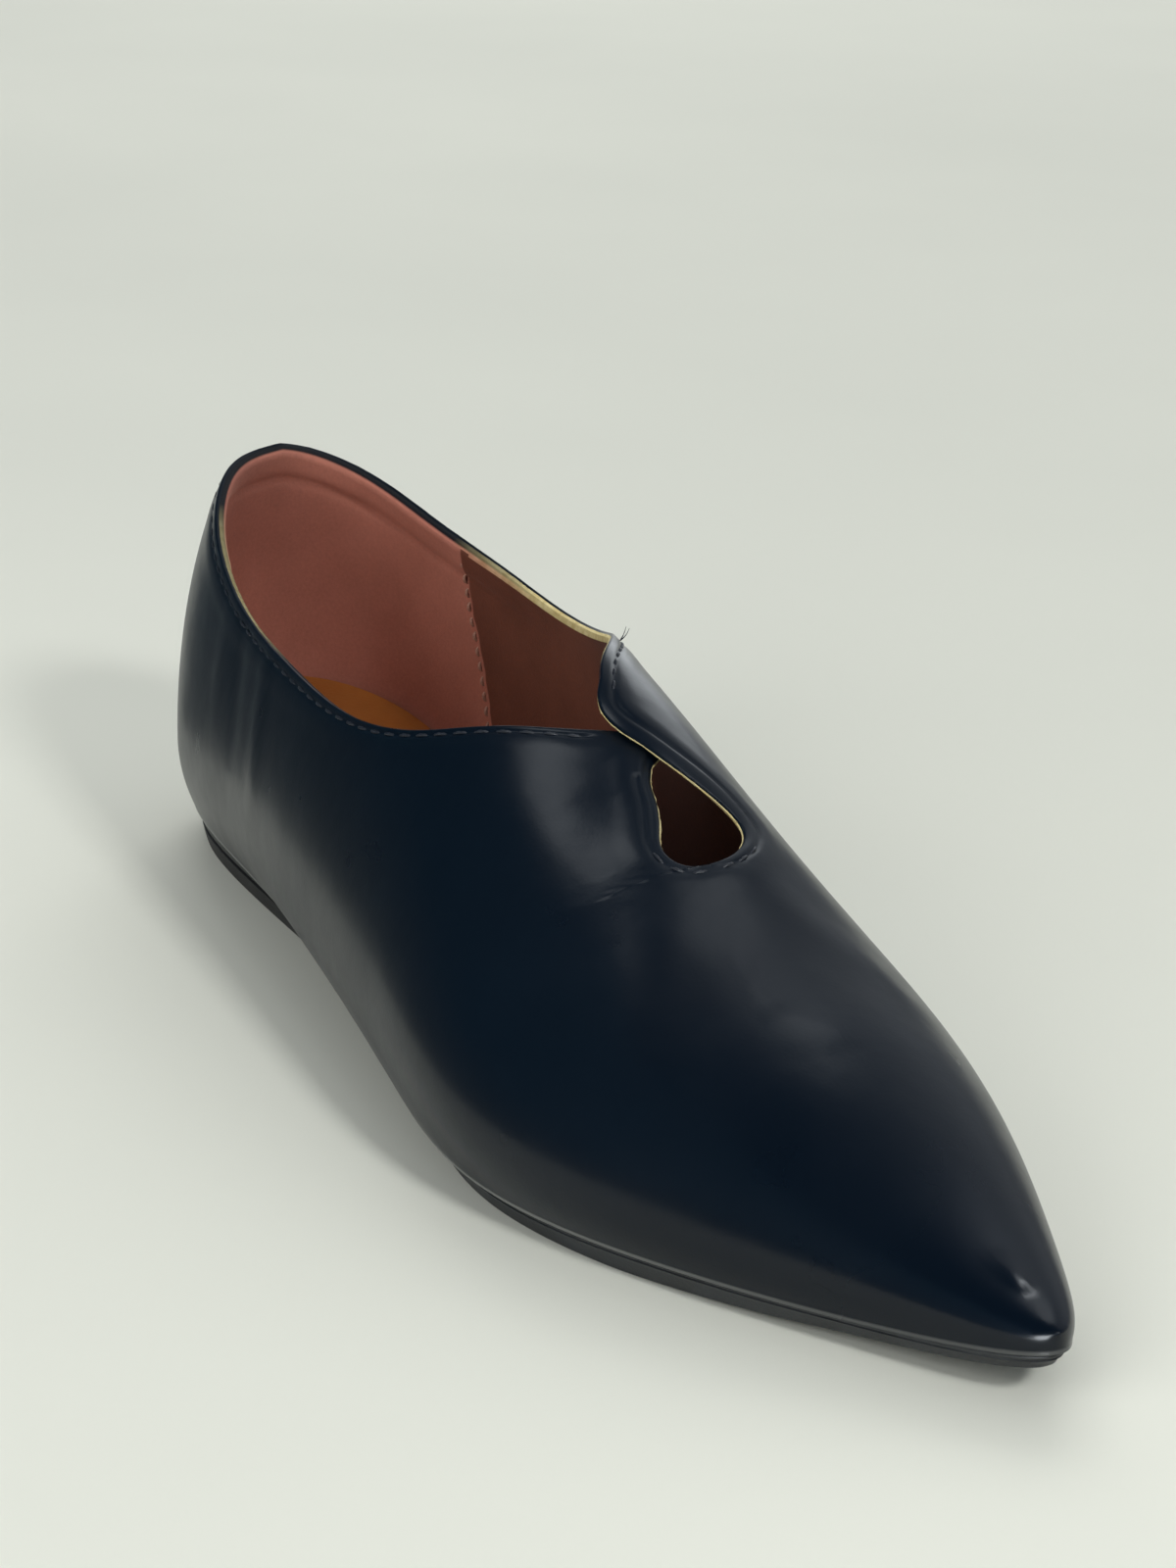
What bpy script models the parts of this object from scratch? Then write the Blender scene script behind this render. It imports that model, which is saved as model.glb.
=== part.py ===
"""Right flat shoe: a pointed leather upper whose throat flaps cross over the instep and leave a
teardrop keyhole, lasted over an insole with a heel pad and a thin outsole with a low heel."""
import math

import bmesh
import bpy
import numpy as np
from mathutils import Matrix, Vector

# Driving dimensions, in metres
LENGTH = 0.262
BALL_WIDTH = 0.079
INSTEP_HEIGHT = 0.0622
HEEL_HEIGHT = 0.008
WALL = 0.0018
GAP = 0.0003
SOLE_BEVEL = 0.0011
SOLE_CHAMFER = 0.0004
HEEL_BREAST = 0.31
HEEL_TAPER = 0.0008
INSOLE_THICKNESS = 0.0015
INSOLE_EDGE = 0.0004
INSOLE_CLEARANCE = 0.0006
PAD_HEIGHT = 0.0135
PAD_LENGTH = 0.075
PAD_CURVE = 1.5
BACK_LEAN = 0.0064
LEAN_HEIGHT = 0.040
LEAN_REACH = 0.070
TACK_SIZE = (0.004, 0.003)
TACK_PLACE = (0.558, 1.045)

# The last, back to front. Stations are shares of LENGTH, and widths and side shifts are shares of
# BALL_WIDTH. The feather edge, where the upper turns under, is a share of HEEL_HEIGHT above the
# floor, and the widest and ridge heights are shares of INSTEP_HEIGHT. The pulls round the section:
# side_pull up from the widest point, ridge_pull out from the ridge.
SECTION_COLUMNS = (
    "station", "centre", "feather_right", "feather_left", "widest_right", "widest_left",
    "feather_height", "widest_height", "ridge_height", "ridge_shift", "side_pull", "ridge_pull",
)
SECTIONS = (
    (0.000, 0.000, 0.000, 0.000, 0.000, 0.000, 1.00, 0.354, 1.480, 0.000, 0.55, 0.55),
    (0.070, 0.000, 0.268, 0.261, 0.305, 0.309, 1.00, 0.338, 1.455, 0.000, 0.54, 0.55),
    (0.210, 0.009, 0.332, 0.325, 0.392, 0.382, 1.00, 0.354, 1.460, 0.000, 0.55, 0.55),
    (0.380, 0.006, 0.363, 0.322, 0.447, 0.426, 0.88, 0.322, 1.226, 0.025, 0.52, 0.50),
    (0.535, 0.017, 0.446, 0.373, 0.505, 0.423, 0.60, 0.289, 1.000, 0.051, 0.50, 0.46),
    (0.670, 0.028, 0.486, 0.436, 0.527, 0.471, 0.49, 0.239, 0.692, 0.051, 0.50, 0.48),
    (0.800, 0.077, 0.386, 0.341, 0.411, 0.366, 0.56, 0.191, 0.509, 0.025, 0.52, 0.52),
    (0.915, 0.112, 0.193, 0.180, 0.205, 0.194, 0.71, 0.169, 0.318, 0.013, 0.56, 0.57),
    (1.000, 0.125, 0.000, 0.000, 0.000, 0.000, 1.14, 0.168, 0.194, 0.000, 0.60, 0.65),
)
ODD_COLUMNS = ("feather_right", "feather_left", "widest_right", "widest_left", "ridge_height")
COLUMN_SCALE = {
    "centre": BALL_WIDTH, "feather_right": BALL_WIDTH, "feather_left": BALL_WIDTH,
    "widest_right": BALL_WIDTH, "widest_left": BALL_WIDTH, "ridge_shift": BALL_WIDTH,
    "feather_height": HEEL_HEIGHT, "widest_height": INSTEP_HEIGHT, "ridge_height": INSTEP_HEIGHT,
    "side_pull": 1.0, "ridge_pull": 1.0,
}
WIDEST_GIRTH = 0.2
FEATHER_PULLS = (0.5, 0.25, 0.4)

# The cut edge of the upper, from the back seam along the wearer's right, round the under flap and
# the keyhole, along the over flap and back along the left. Stations are shares of LENGTH. Girth runs
# from 0 at the right feather edge, over the ridge at 1, to 2 at the left feather edge. Steps is the
# number of mesh columns up to the next row.
EDGE_COLUMNS = ("station", "girth", "steps")
CUT_EDGE = (
    (0.000, 0.620, 4),
    (0.063, 0.598, 2),
    (0.115, 0.538, 3),
    (0.229, 0.471, 2),
    (0.289, 0.485, 2),
    (0.348, 0.511, 2),
    (0.425, 0.569, 2),
    (0.480, 0.666, 3),
    (0.531, 0.865, 3),
    (0.547, 0.990, 3),
    (0.561, 1.100, 3),
    (0.574, 1.015, 3),
    (0.594, 0.979, 2),
    (0.614, 0.951, 2),
    (0.6335, 0.929, 2),
    (0.6445, 0.957, 2),
    (0.6455, 1.020, 3),
    (0.6345, 1.125, 2),
    (0.6245, 1.167, 2),
    (0.614, 1.183, 2),
    (0.594, 1.129, 3),
    (0.565, 1.008, 3),
    (0.5345, 0.957, 3),
    (0.508, 1.005, 3),
    (0.470, 1.144, 3),
    (0.401, 1.345, 3),
    (0.344, 1.446, 2),
    (0.282, 1.502, 2),
    (0.229, 1.518, 3),
    (0.115, 1.487, 2),
    (0.063, 1.434, 4),
    (0.000, 1.380, 0),
)
GIRTH_LENGTH = 0.055

# How the upper's mesh is laid out
TOE_STEPS = 24
TOE_GRADING = 1.3
BASE_SMOOTHING = 40
KEYHOLE_MARGIN = 0.08
CORNER_HALVINGS = 30
CORNER_LIMIT = 0.9
END_MARGIN = 0.02
NORMAL_STEP = 1e-4
WELD = 3e-5
ROW_SHARES = (0.0, 0.05, 0.12, 0.21, 0.32, 0.44, 0.57, 0.70, 0.82, 0.92, 1.0)
SHARP_EDGE = math.radians(40)
EXTENT_GRID = (721, 81)

# The hollow stops short of the toe, where the wall thickens into a firm tip
TOE_ROUNDING = (0.90, 0.970)

# The part of the sole's middle line that insets point to, as shares of LENGTH
MIDDLE_LINE = (0.10, 0.86)

# Where the under flap dips by a wall and a gap to pass below the over flap
DIP_STATIONS = (0.46, 0.53, 0.58, 0.64)
DIP_GIRTHS = (0.66, 0.93)

# How far the sole and the inner edge of the lasting margin stand in from the feather edge, and the
# thickness of the sole
TUCK_COLUMNS = ("station", "sole", "margin", "thickness")
TUCKS = (
    (0.00, 0.0004, 0.007, 0.0038),
    (0.15, 0.0009, 0.007, 0.0038),
    (0.30, 0.0030, 0.007, 0.0038),
    (0.42, 0.0050, 0.008, 0.0038),
    (0.54, 0.0035, 0.008, 0.0040),
    (0.65, 0.0012, 0.007, 0.0041),
    (0.80, 0.0009, 0.007, 0.0039),
    (0.93, 0.0009, 0.009, 0.0028),
    (1.00, 0.0010, 0.014, 0.0022),
)
SOLE_STATIONS = 52
HEEL_STATIONS = 18
INSOLE_STATIONS = 40
INSOLE_SHARES = (0.0, 0.35, 0.65)

# Colour, roughness and metallic value of each piece
FINISHES = {
    "upper": ((0.012, 0.016, 0.028), 0.32, 0.0),
    "outsole": ((0.020, 0.020, 0.022), 0.60, 0.0),
    "heel": ((0.016, 0.016, 0.018), 0.65, 0.0),
    "insole": ((0.420, 0.130, 0.035), 0.55, 0.0),
}


def natural_spline(knots, values):
    """Smooth curve through (knots, values), straight at both ends."""
    knots = np.asarray(knots, float)
    values = np.asarray(values, float)
    steps = np.diff(knots)
    slopes = np.diff(values) / steps
    matrix = np.eye(len(knots))
    bends = np.zeros(len(knots))
    for i in range(1, len(knots) - 1):
        matrix[i, i - 1:i + 2] = steps[i - 1], 2 * (steps[i - 1] + steps[i]), steps[i]
        bends[i] = 6 * (slopes[i] - slopes[i - 1])
    second = np.linalg.solve(matrix, bends)

    def curve(t):
        t = np.asarray(t, float)
        i = np.clip(np.searchsorted(knots, t) - 1, 0, len(steps) - 1)
        width = steps[i]
        a = (knots[i + 1] - t) / width
        b = 1 - a
        bend = (a**3 - a) * second[i] + (b**3 - b) * second[i + 1]
        return a * values[i] + b * values[i + 1] + bend * width**2 / 6

    return curve


def mirrored_spline(knots, values, sign):
    """Spline that goes on past both ends as its mirror image, even (+1) or odd (-1)."""
    knots = np.asarray(knots, float)
    values = np.asarray(values, float)
    before = 2 * knots[0] - knots[3:0:-1]
    after = 2 * knots[-1] - knots[-2:-5:-1]
    head = values[0] + sign * (values[3:0:-1] - values[0])
    tail = values[-1] + sign * (values[-2:-5:-1] - values[-1])
    return natural_spline(np.concatenate([before, knots, after]), np.concatenate([head, values, tail]))


def angle_of(station):
    """Angle along the shoe, 0 at the back and pi at the toe, so that both ends round off."""
    return np.arccos(1 - 2 * np.clip(station, 0, 1))


def ramp(value, start, end):
    """Smooth step from 0 at start to 1 at end."""
    t = np.clip((np.asarray(value, float) - start) / (end - start), 0, 1)
    return t * t * (3 - 2 * t)


def bezier(start, pull_start, pull_end, end, t):
    u = 1 - t
    return u**3 * start + 3 * u * u * t * pull_start + 3 * u * t * t * pull_end + t**3 * end


def section_curves():
    rows = np.array(SECTIONS)
    angles = angle_of(rows[:, 0])
    curves = {}
    for column, name in enumerate(SECTION_COLUMNS[1:], start=1):
        sign = -1 if name in ODD_COLUMNS else 1
        curves[name] = mirrored_spline(angles, rows[:, column] * COLUMN_SCALE[name], sign)
    return curves


CURVES = section_curves()


def last_surface(angle, girth):
    """Outer face of the upper: points at an angle along the shoe and a girth across it."""
    angle, girth = np.broadcast_arrays(np.asarray(angle, float), np.asarray(girth, float))
    on_right = girth <= 1
    climb = np.where(on_right, girth, 2 - girth)
    side = np.where(on_right, -1.0, 1.0)
    at = {name: curve(angle) for name, curve in CURVES.items()}
    feather = np.where(on_right, at["feather_right"], at["feather_left"])
    widest = np.where(on_right, at["widest_right"], at["widest_left"])
    ridge = at["ridge_shift"] * side
    low, mid, top = at["feather_height"], at["widest_height"], at["ridge_height"]
    below = np.clip(climb / WIDEST_GIRTH, 0, 1)
    above = np.clip((climb - WIDEST_GIRTH) / (1 - WIDEST_GIRTH), 0, 1)
    out_pull, foot_pull, side_drop = FEATHER_PULLS
    y_low = bezier(feather, feather + (widest - feather) * out_pull, widest, widest, below)
    z_low = bezier(low, low + (mid - low) * foot_pull, mid - (mid - low) * side_drop, mid, below)
    y_high = bezier(widest, widest, ridge + at["ridge_pull"] * (widest - ridge), ridge, above)
    z_high = bezier(mid, mid + at["side_pull"] * (top - mid), top, top, above)
    upper_part = climb > WIDEST_GIRTH
    y = np.where(upper_part, y_high, y_low)
    z = np.where(upper_part, z_high, z_low)
    x = LENGTH * (1 - np.cos(angle)) / 2
    lean = BACK_LEAN * np.clip(1 - x / LEAN_REACH, 0, 1) ** 2
    x = x + lean * ((z - CURVES["widest_height"](0.0)) / LEAN_HEIGHT) ** 2
    return np.stack([x, at["centre"] + side * y, z], axis=-1)


def last_normal(angle, girth):
    """Outward unit normal of the last surface, without a sideways part on the back and toe lines."""
    angle, girth = np.broadcast_arrays(np.asarray(angle, float), np.asarray(girth, float))
    near = np.clip(angle, END_MARGIN, math.pi - END_MARGIN)
    along = last_surface(near + NORMAL_STEP, girth) - last_surface(near - NORMAL_STEP, girth)
    across = last_surface(near, girth + NORMAL_STEP) - last_surface(near, girth - NORMAL_STEP)
    normal = np.cross(along, across)
    normal[..., 1] = np.where(near == angle, normal[..., 1], 0.0)
    return normal / np.linalg.norm(normal, axis=-1, keepdims=True)


def bottom_height(x):
    """Height of the feather plane over the floor at a distance from the back."""
    return CURVES["feather_height"](angle_of(np.asarray(x, float) / LENGTH))


def flap_dip(angle, girth):
    """How deep the right half lies below the last surface where it passes under the over flap."""
    station = (1 - np.cos(angle)) / 2
    along = ramp(station, *DIP_STATIONS[:2]) * (1 - ramp(station, *DIP_STATIONS[2:]))
    return (WALL + GAP) * along * ramp(girth, *DIP_GIRTHS)


def cut_edge_columns():
    """Angle and girth of every mesh column's top end, from the back round the opening to the back."""
    edge = dict(zip(EDGE_COLUMNS, np.array(CUT_EDGE).T))
    along = angle_of(edge["station"]) * LENGTH / 2
    points = np.stack([along, edge["girth"] * GIRTH_LENGTH], axis=-1)
    ghosts = points * (-1, 1)
    points = np.concatenate([ghosts[3:0:-1], points, ghosts[-2:-5:-1]])
    lengths = np.linalg.norm(np.diff(points, axis=0), axis=1)
    knots = np.concatenate([[0], np.cumsum(lengths)])
    samples = [knots[3]]
    for start, end, steps in zip(knots[3:], knots[4:], edge["steps"][:-1]):
        samples.extend(np.linspace(start, end, int(steps) + 1)[1:])
    angles = natural_spline(knots, points[:, 0])(samples) / (LENGTH / 2)
    girths = natural_spline(knots, points[:, 1])(samples) / GIRTH_LENGTH
    angles[0] = 0.0
    angles[-1] = 0.0
    return angles, girths


def half_columns():
    """Columns of the right and the left half, back to toe: base angle, top angle and top girth."""
    angles, girths = cut_edge_columns()
    keyhole = int(np.argmax(np.where(np.abs(girths - 1) < KEYHOLE_MARGIN, angles, 0)))
    girths[keyhole] = 1.0
    shares = np.linspace(0, 1, TOE_STEPS + 1)[1:] ** TOE_GRADING
    vamp = angles[keyhole] + (math.pi - angles[keyhole]) * shares
    ridge = np.ones(TOE_STEPS)
    halves = []
    for edge_angles, edge_girths in (
        (angles[:keyhole + 1], girths[:keyhole + 1]),
        (angles[:keyhole - 1:-1], girths[:keyhole - 1:-1]),
    ):
        base = edge_angles.copy()
        for _ in range(BASE_SMOOTHING):
            base[1:-1] = (base[:-2] + base[2:]) / 2
        halves.append((
            np.concatenate([base, vamp]),
            np.concatenate([edge_angles, vamp]),
            np.concatenate([edge_girths, ridge]),
        ))
    return halves


def tuck(angles, column):
    rows = np.array(TUCKS)
    return natural_spline(angle_of(rows[:, 0]), rows[:, TUCK_COLUMNS.index(column)])(angles)


def moved_in(line, inset):
    """Plan points moved in by an inset towards the middle line of the sole."""
    middle_x = np.clip(line[:, 0], *(np.array(MIDDLE_LINE) * LENGTH))
    middle_y = CURVES["centre"](angle_of(middle_x / LENGTH))
    inward = np.stack([middle_x, middle_y], axis=-1) - line[:, :2]
    reach = np.linalg.norm(inward, axis=-1)
    return line[:, :2] + inward * (inset / reach)[:, None]


def outer_face(angle, girth, under):
    """Outer face of the upper, where the under half dips below the over flap."""
    if not under:
        return last_surface(angle, girth)
    depth = np.expand_dims(flap_dip(angle, girth), -1)
    return last_surface(angle, girth) - last_normal(angle, girth) * depth


def inner_face(angle, girth, under):
    return outer_face(angle, girth, under) - WALL * last_normal(angle, girth)


def insole_depth(x):
    """Thickness of the insole, which swells to a soft pad under the heel."""
    return INSOLE_THICKNESS + PAD_HEIGHT * np.clip(1 - x / PAD_LENGTH, 0, 1) ** PAD_CURVE


def inner_climb(angle, under, share=0.0):
    """Climb from the feather edge at which the inner face is level with the top of the lasting margin,
    or with a share of the insole's thickness above it."""
    low = np.zeros_like(angle)
    high = np.full_like(angle, CORNER_LIMIT)
    for _ in range(CORNER_HALVINGS):
        middle = (low + high) / 2
        point = inner_face(angle, middle if under else 2 - middle, under)
        level = bottom_height(point[:, 0]) + WALL + share * insole_depth(point[:, 0])
        above = point[:, 2] > level
        high = np.where(above, middle, high)
        low = np.where(above, low, middle)
    return high


def hollow_angle(angle, keyhole):
    """Angle of the inner face behind an outer angle: the hollow's toe lies behind the shoe's."""
    return np.interp(angle, (0, keyhole, math.pi), (0, keyhole, angle_of(TOE_ROUNDING[1])))


def round_toe(points, angle, share):
    """Inner points drawn in to the middle line, so that the hollow ends in a round toe."""
    start, end = TOE_ROUNDING
    station = (1 - np.cos(angle)) / 2
    along = np.clip((station - start) / (end - start), 0, 1)
    width = np.sqrt(1 - along**2)
    centre = CURVES["centre"](angle)
    points[:, 1] = centre + (points[:, 1] - centre) * width
    low = bottom_height(LENGTH * end) + WALL
    high = inner_face(angle[-1:], np.ones(1), False)[0, 2]
    points[-1] = (LENGTH * end, centre[-1], low + (high - low) * share)
    return points


def half_rows(columns, under):
    """Rows of points round the wall of one half, from the margin's lower edge, up the outer face, over
    the cut edge, down the inner face and back along the top of the margin."""
    base, top, girths = columns
    keyhole = base[-TOE_STEPS - 1]
    climb_top = girths if under else 2 - girths
    climb_corner = inner_climb(hollow_angle(base, keyhole), under)
    outer = []
    inner = []
    for share in ROW_SHARES:
        angle = base + (top - base) * share
        behind = hollow_angle(angle, keyhole)
        outer_climb = climb_top * share
        behind_climb = climb_corner + (climb_top - climb_corner) * share
        outer.append(outer_face(angle, outer_climb if under else 2 - outer_climb, under))
        face = inner_face(behind, behind_climb if under else 2 - behind_climb, under)
        inner.append(round_toe(face, behind, share))
    edge = moved_in(outer[0], tuck(base, "margin"))
    floor = bottom_height(edge[:, 0])
    margin_low = np.column_stack([edge, floor])
    margin_high = np.column_stack([edge, floor + WALL])
    return [margin_low] + outer + inner[::-1] + [margin_high]


def mesh_object(name, mesh_data, parent):
    """Object for one piece, with its own material, placed under the parent empty."""
    mesh = bpy.data.meshes.new(name)
    mesh_data.to_mesh(mesh)
    mesh_data.free()
    mesh.shade_smooth()
    mesh.set_sharp_from_angle(angle=SHARP_EDGE)
    piece = bpy.data.objects.new(name, mesh)
    bpy.context.scene.collection.objects.link(piece)
    piece.parent = parent
    return piece


def finish(piece):
    colour, roughness, metallic = FINISHES[piece.name]
    material = bpy.data.materials.new(piece.name)
    material.use_nodes = True
    shader = material.node_tree.nodes["Principled BSDF"]
    shader.inputs["Base Color"].default_value = (*colour, 1.0)
    shader.inputs["Roughness"].default_value = roughness
    shader.inputs["Metallic"].default_value = metallic
    piece.data.materials.append(material)


def add_half(mesh_data, rows, flip):
    """Quads round the wall of one half. The cut edge stops where the halves meet on the ridge."""
    verts = [[mesh_data.verts.new(p) for p in row] for row in rows]
    cut_edge = len(ROW_SHARES)
    for number, (lower, higher) in enumerate(zip(verts, verts[1:] + verts[:1])):
        count = len(lower) - TOE_STEPS if number == cut_edge else len(lower)
        for a, b, c, d in list(zip(lower, lower[1:], higher[1:], higher))[:count - 1]:
            mesh_data.faces.new((d, c, b, a) if flip else (a, b, c, d))


def upper_wall():
    """The whole wall as one closed mesh, both halves welded at the ridge, the back and the toe."""
    right, left = half_columns()
    wall = bmesh.new()
    add_half(wall, half_rows(right, True), False)
    add_half(wall, half_rows(left, False), True)
    bmesh.ops.remove_doubles(wall, verts=wall.verts, dist=WELD)
    return wall


def tack_block():
    """Small block at the crossing, which joins the two flaps as the stitches do."""
    station, girth = TACK_PLACE
    angle = angle_of(station)
    normal = Vector(last_normal(angle, girth))
    along = Vector((1, 0, 0)).cross(normal).normalized()
    place = Vector(last_surface(angle, girth)) - normal * (WALL + GAP / 2)
    frame = Matrix((along.cross(normal), along, normal)).transposed().to_4x4()
    block = bmesh.new()
    bmesh.ops.create_cube(block, size=1)
    bmesh.ops.scale(block, vec=(*TACK_SIZE, WALL), verts=block.verts)
    bmesh.ops.transform(block, matrix=Matrix.Translation(place) @ frame, verts=block.verts)
    return block


def make_upper(parent):
    upper = mesh_object("upper", upper_wall(), parent)
    finish(upper)
    tack = mesh_object("tack", tack_block(), parent)
    tack.hide_render = True
    tack.display_type = "WIRE"
    joined = upper.modifiers.new("joined_flaps", "BOOLEAN")
    joined.operation = "UNION"
    joined.object = tack


def outline(angles, inset):
    """Right and left lines of the feather edge, moved in by an inset."""
    return [moved_in(last_surface(angles, girth), inset) for girth in (0.0, 2.0)]


def slab(rings):
    """Closed solid through rings of (right and left line, height rule), lowest first, level across."""
    solid = bmesh.new()
    loops = []
    for lines, height in rings:
        loops.append([[solid.verts.new((x, y, height(x))) for x, y in line] for line in lines])
    for lower, higher in zip(loops, loops[1:]):
        for side, flip in ((0, False), (1, True)):
            for a, b, c, d in zip(lower[side], lower[side][1:], higher[side][1:], higher[side]):
                solid.faces.new((d, c, b, a) if flip else (a, b, c, d))
        front = (lower[0][-1], lower[1][-1], higher[1][-1], higher[0][-1])
        if (front[0].co - front[1].co).length > WELD:
            solid.faces.new(front)
    for ring, flip in ((loops[0], True), (loops[-1], False)):
        for a, b, c, d in zip(ring[0], ring[0][1:], ring[1][1:], ring[1]):
            solid.faces.new((d, c, b, a) if flip else (a, b, c, d))
    bmesh.ops.remove_doubles(solid, verts=solid.verts, dist=WELD)
    return solid


def sole_top(x):
    return bottom_height(x) - GAP


def sole_bottom(x):
    """Underside of the outsole: level with the floor under the forefoot, raised for heel and toe."""
    thickness = tuck(angle_of(np.asarray(x) / LENGTH), "thickness")
    return np.maximum(sole_top(x) - thickness, 0.0)


def make_outsole(parent):
    angles = np.linspace(0, math.pi, SOLE_STATIONS + 1)
    inset = tuck(angles, "sole")
    rings = (
        (outline(angles, inset + SOLE_BEVEL + SOLE_CHAMFER), sole_bottom),
        (outline(angles, inset + SOLE_BEVEL), lambda x: sole_bottom(x) + SOLE_CHAMFER),
        (outline(angles, inset), lambda x: sole_top(x) - 2 * SOLE_CHAMFER),
        (outline(angles, inset + SOLE_CHAMFER), sole_top),
    )
    finish(mesh_object("outsole", slab(rings), parent))


def make_heel(parent):
    angles = np.linspace(0, angle_of(HEEL_BREAST), HEEL_STATIONS + 1)
    inset = tuck(angles, "sole") + SOLE_BEVEL
    rings = (
        (outline(angles, inset + HEEL_TAPER + SOLE_CHAMFER), lambda x: 0.0),
        (outline(angles, inset + HEEL_TAPER), lambda x: SOLE_CHAMFER),
        (outline(angles, inset), lambda x: sole_bottom(x) - GAP),
    )
    finish(mesh_object("heel", slab(rings), parent))


def inner_lines(angles, share, inset):
    """Right and left lines along the inner face at a share of the insole's thickness, moved in."""
    lines = []
    for under in (True, False):
        climb = inner_climb(angles, under, share)
        face = inner_face(angles, climb if under else 2 - climb, under)
        lines.append(moved_in(round_toe(face, angles, 0.0), np.full(len(angles), inset)))
    return lines


def make_insole(parent):
    angles = np.linspace(0, angle_of(TOE_ROUNDING[1]), INSOLE_STATIONS + 1)

    def level(share, drop=0.0):
        return lambda x: bottom_height(x) + WALL + GAP + share * insole_depth(x) - drop

    rings = [(inner_lines(angles, share, INSOLE_CLEARANCE), level(share)) for share in INSOLE_SHARES]
    rings.append((inner_lines(angles, 1.0, INSOLE_CLEARANCE), level(1.0, INSOLE_EDGE)))
    rings.append((inner_lines(angles, 1.0, INSOLE_CLEARANCE + INSOLE_EDGE), level(1.0)))
    finish(mesh_object("insole", slab(rings), parent))


def main():
    for item in list(bpy.data.objects):
        bpy.data.objects.remove(item)
    angles, girths = (np.linspace(0, end, count) for end, count in zip((math.pi, 2), EXTENT_GRID))
    grid = last_surface(angles[:, None], girths)
    middle = (grid.min(axis=(0, 1)) + grid.max(axis=(0, 1))) / 2
    shoe = bpy.data.objects.new("shoe", None)
    bpy.context.scene.collection.objects.link(shoe)
    shoe.location = (-middle[0], -middle[1], 0.0)
    make_outsole(shoe)
    make_heel(shoe)
    make_insole(shoe)
    make_upper(shoe)


main()
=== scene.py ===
"""Looks of a right flat shoe: the leather upper with its crossed flaps, raw edges, creases and lining,
its stitches, insole, outsole and heel, on a pale floor in soft light."""
import math

import bmesh
import bpy
import numpy as np
from mathutils import Matrix, Vector, kdtree


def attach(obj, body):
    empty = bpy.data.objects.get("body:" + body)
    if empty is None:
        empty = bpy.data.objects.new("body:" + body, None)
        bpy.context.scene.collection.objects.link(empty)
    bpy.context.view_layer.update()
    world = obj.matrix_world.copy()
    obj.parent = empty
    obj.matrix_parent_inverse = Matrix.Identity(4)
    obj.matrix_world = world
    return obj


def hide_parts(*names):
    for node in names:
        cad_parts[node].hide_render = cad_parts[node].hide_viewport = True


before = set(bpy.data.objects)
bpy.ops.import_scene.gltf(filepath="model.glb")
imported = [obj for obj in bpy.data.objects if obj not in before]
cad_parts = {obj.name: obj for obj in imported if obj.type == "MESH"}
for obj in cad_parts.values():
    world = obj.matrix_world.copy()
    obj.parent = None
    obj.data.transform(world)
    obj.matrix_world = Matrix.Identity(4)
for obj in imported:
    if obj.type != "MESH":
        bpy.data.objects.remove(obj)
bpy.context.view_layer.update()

# Driving dimensions of the shoe, in metres
LENGTH = 0.262
BALL_WIDTH = 0.079
INSTEP_HEIGHT = 0.0622
HEEL_HEIGHT = 0.008
WALL = 0.0018
GAP = 0.0003
HEEL_BREAST = 0.31
INSOLE_THICKNESS = 0.0015
INSOLE_CLEARANCE = 0.0006
PAD_HEIGHT = 0.0135
PAD_LENGTH = 0.075
PAD_CURVE = 1.5
BACK_LEAN = 0.0064
LEAN_HEIGHT = 0.040
LEAN_REACH = 0.070
MM = 0.001

# The last, back to front. Stations are shares of LENGTH, and widths and side shifts are shares of
# BALL_WIDTH. The feather edge, where the upper turns under, is a share of HEEL_HEIGHT above the
# floor, and the widest and ridge heights are shares of INSTEP_HEIGHT. The pulls round the section:
# side_pull up from the widest point, ridge_pull out from the ridge.
SECTION_COLUMNS = (
    "station", "centre", "feather_right", "feather_left", "widest_right", "widest_left",
    "feather_height", "widest_height", "ridge_height", "ridge_shift", "side_pull", "ridge_pull",
)
SECTIONS = (
    (0.000, 0.000, 0.000, 0.000, 0.000, 0.000, 1.00, 0.354, 1.480, 0.000, 0.55, 0.55),
    (0.070, 0.000, 0.268, 0.261, 0.305, 0.309, 1.00, 0.338, 1.455, 0.000, 0.54, 0.55),
    (0.210, 0.009, 0.332, 0.325, 0.392, 0.382, 1.00, 0.354, 1.460, 0.000, 0.55, 0.55),
    (0.380, 0.006, 0.363, 0.322, 0.447, 0.426, 0.88, 0.322, 1.226, 0.025, 0.52, 0.50),
    (0.535, 0.017, 0.446, 0.373, 0.505, 0.423, 0.60, 0.289, 1.000, 0.051, 0.50, 0.46),
    (0.670, 0.028, 0.486, 0.436, 0.527, 0.471, 0.49, 0.239, 0.692, 0.051, 0.50, 0.48),
    (0.800, 0.077, 0.386, 0.341, 0.411, 0.366, 0.56, 0.191, 0.509, 0.025, 0.52, 0.52),
    (0.915, 0.112, 0.193, 0.180, 0.205, 0.194, 0.71, 0.169, 0.318, 0.013, 0.56, 0.57),
    (1.000, 0.125, 0.000, 0.000, 0.000, 0.000, 1.14, 0.168, 0.194, 0.000, 0.60, 0.65),
)
SECTION_SCALES = (
    1.0, BALL_WIDTH, BALL_WIDTH, BALL_WIDTH, BALL_WIDTH, BALL_WIDTH,
    HEEL_HEIGHT, INSTEP_HEIGHT, INSTEP_HEIGHT, BALL_WIDTH, 1.0, 1.0,
)
ODD_COLUMNS = ("feather_right", "feather_left", "widest_right", "widest_left", "ridge_height")
WIDEST_GIRTH = 0.2
FEATHER_PULLS = (0.5, 0.25, 0.4)

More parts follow.
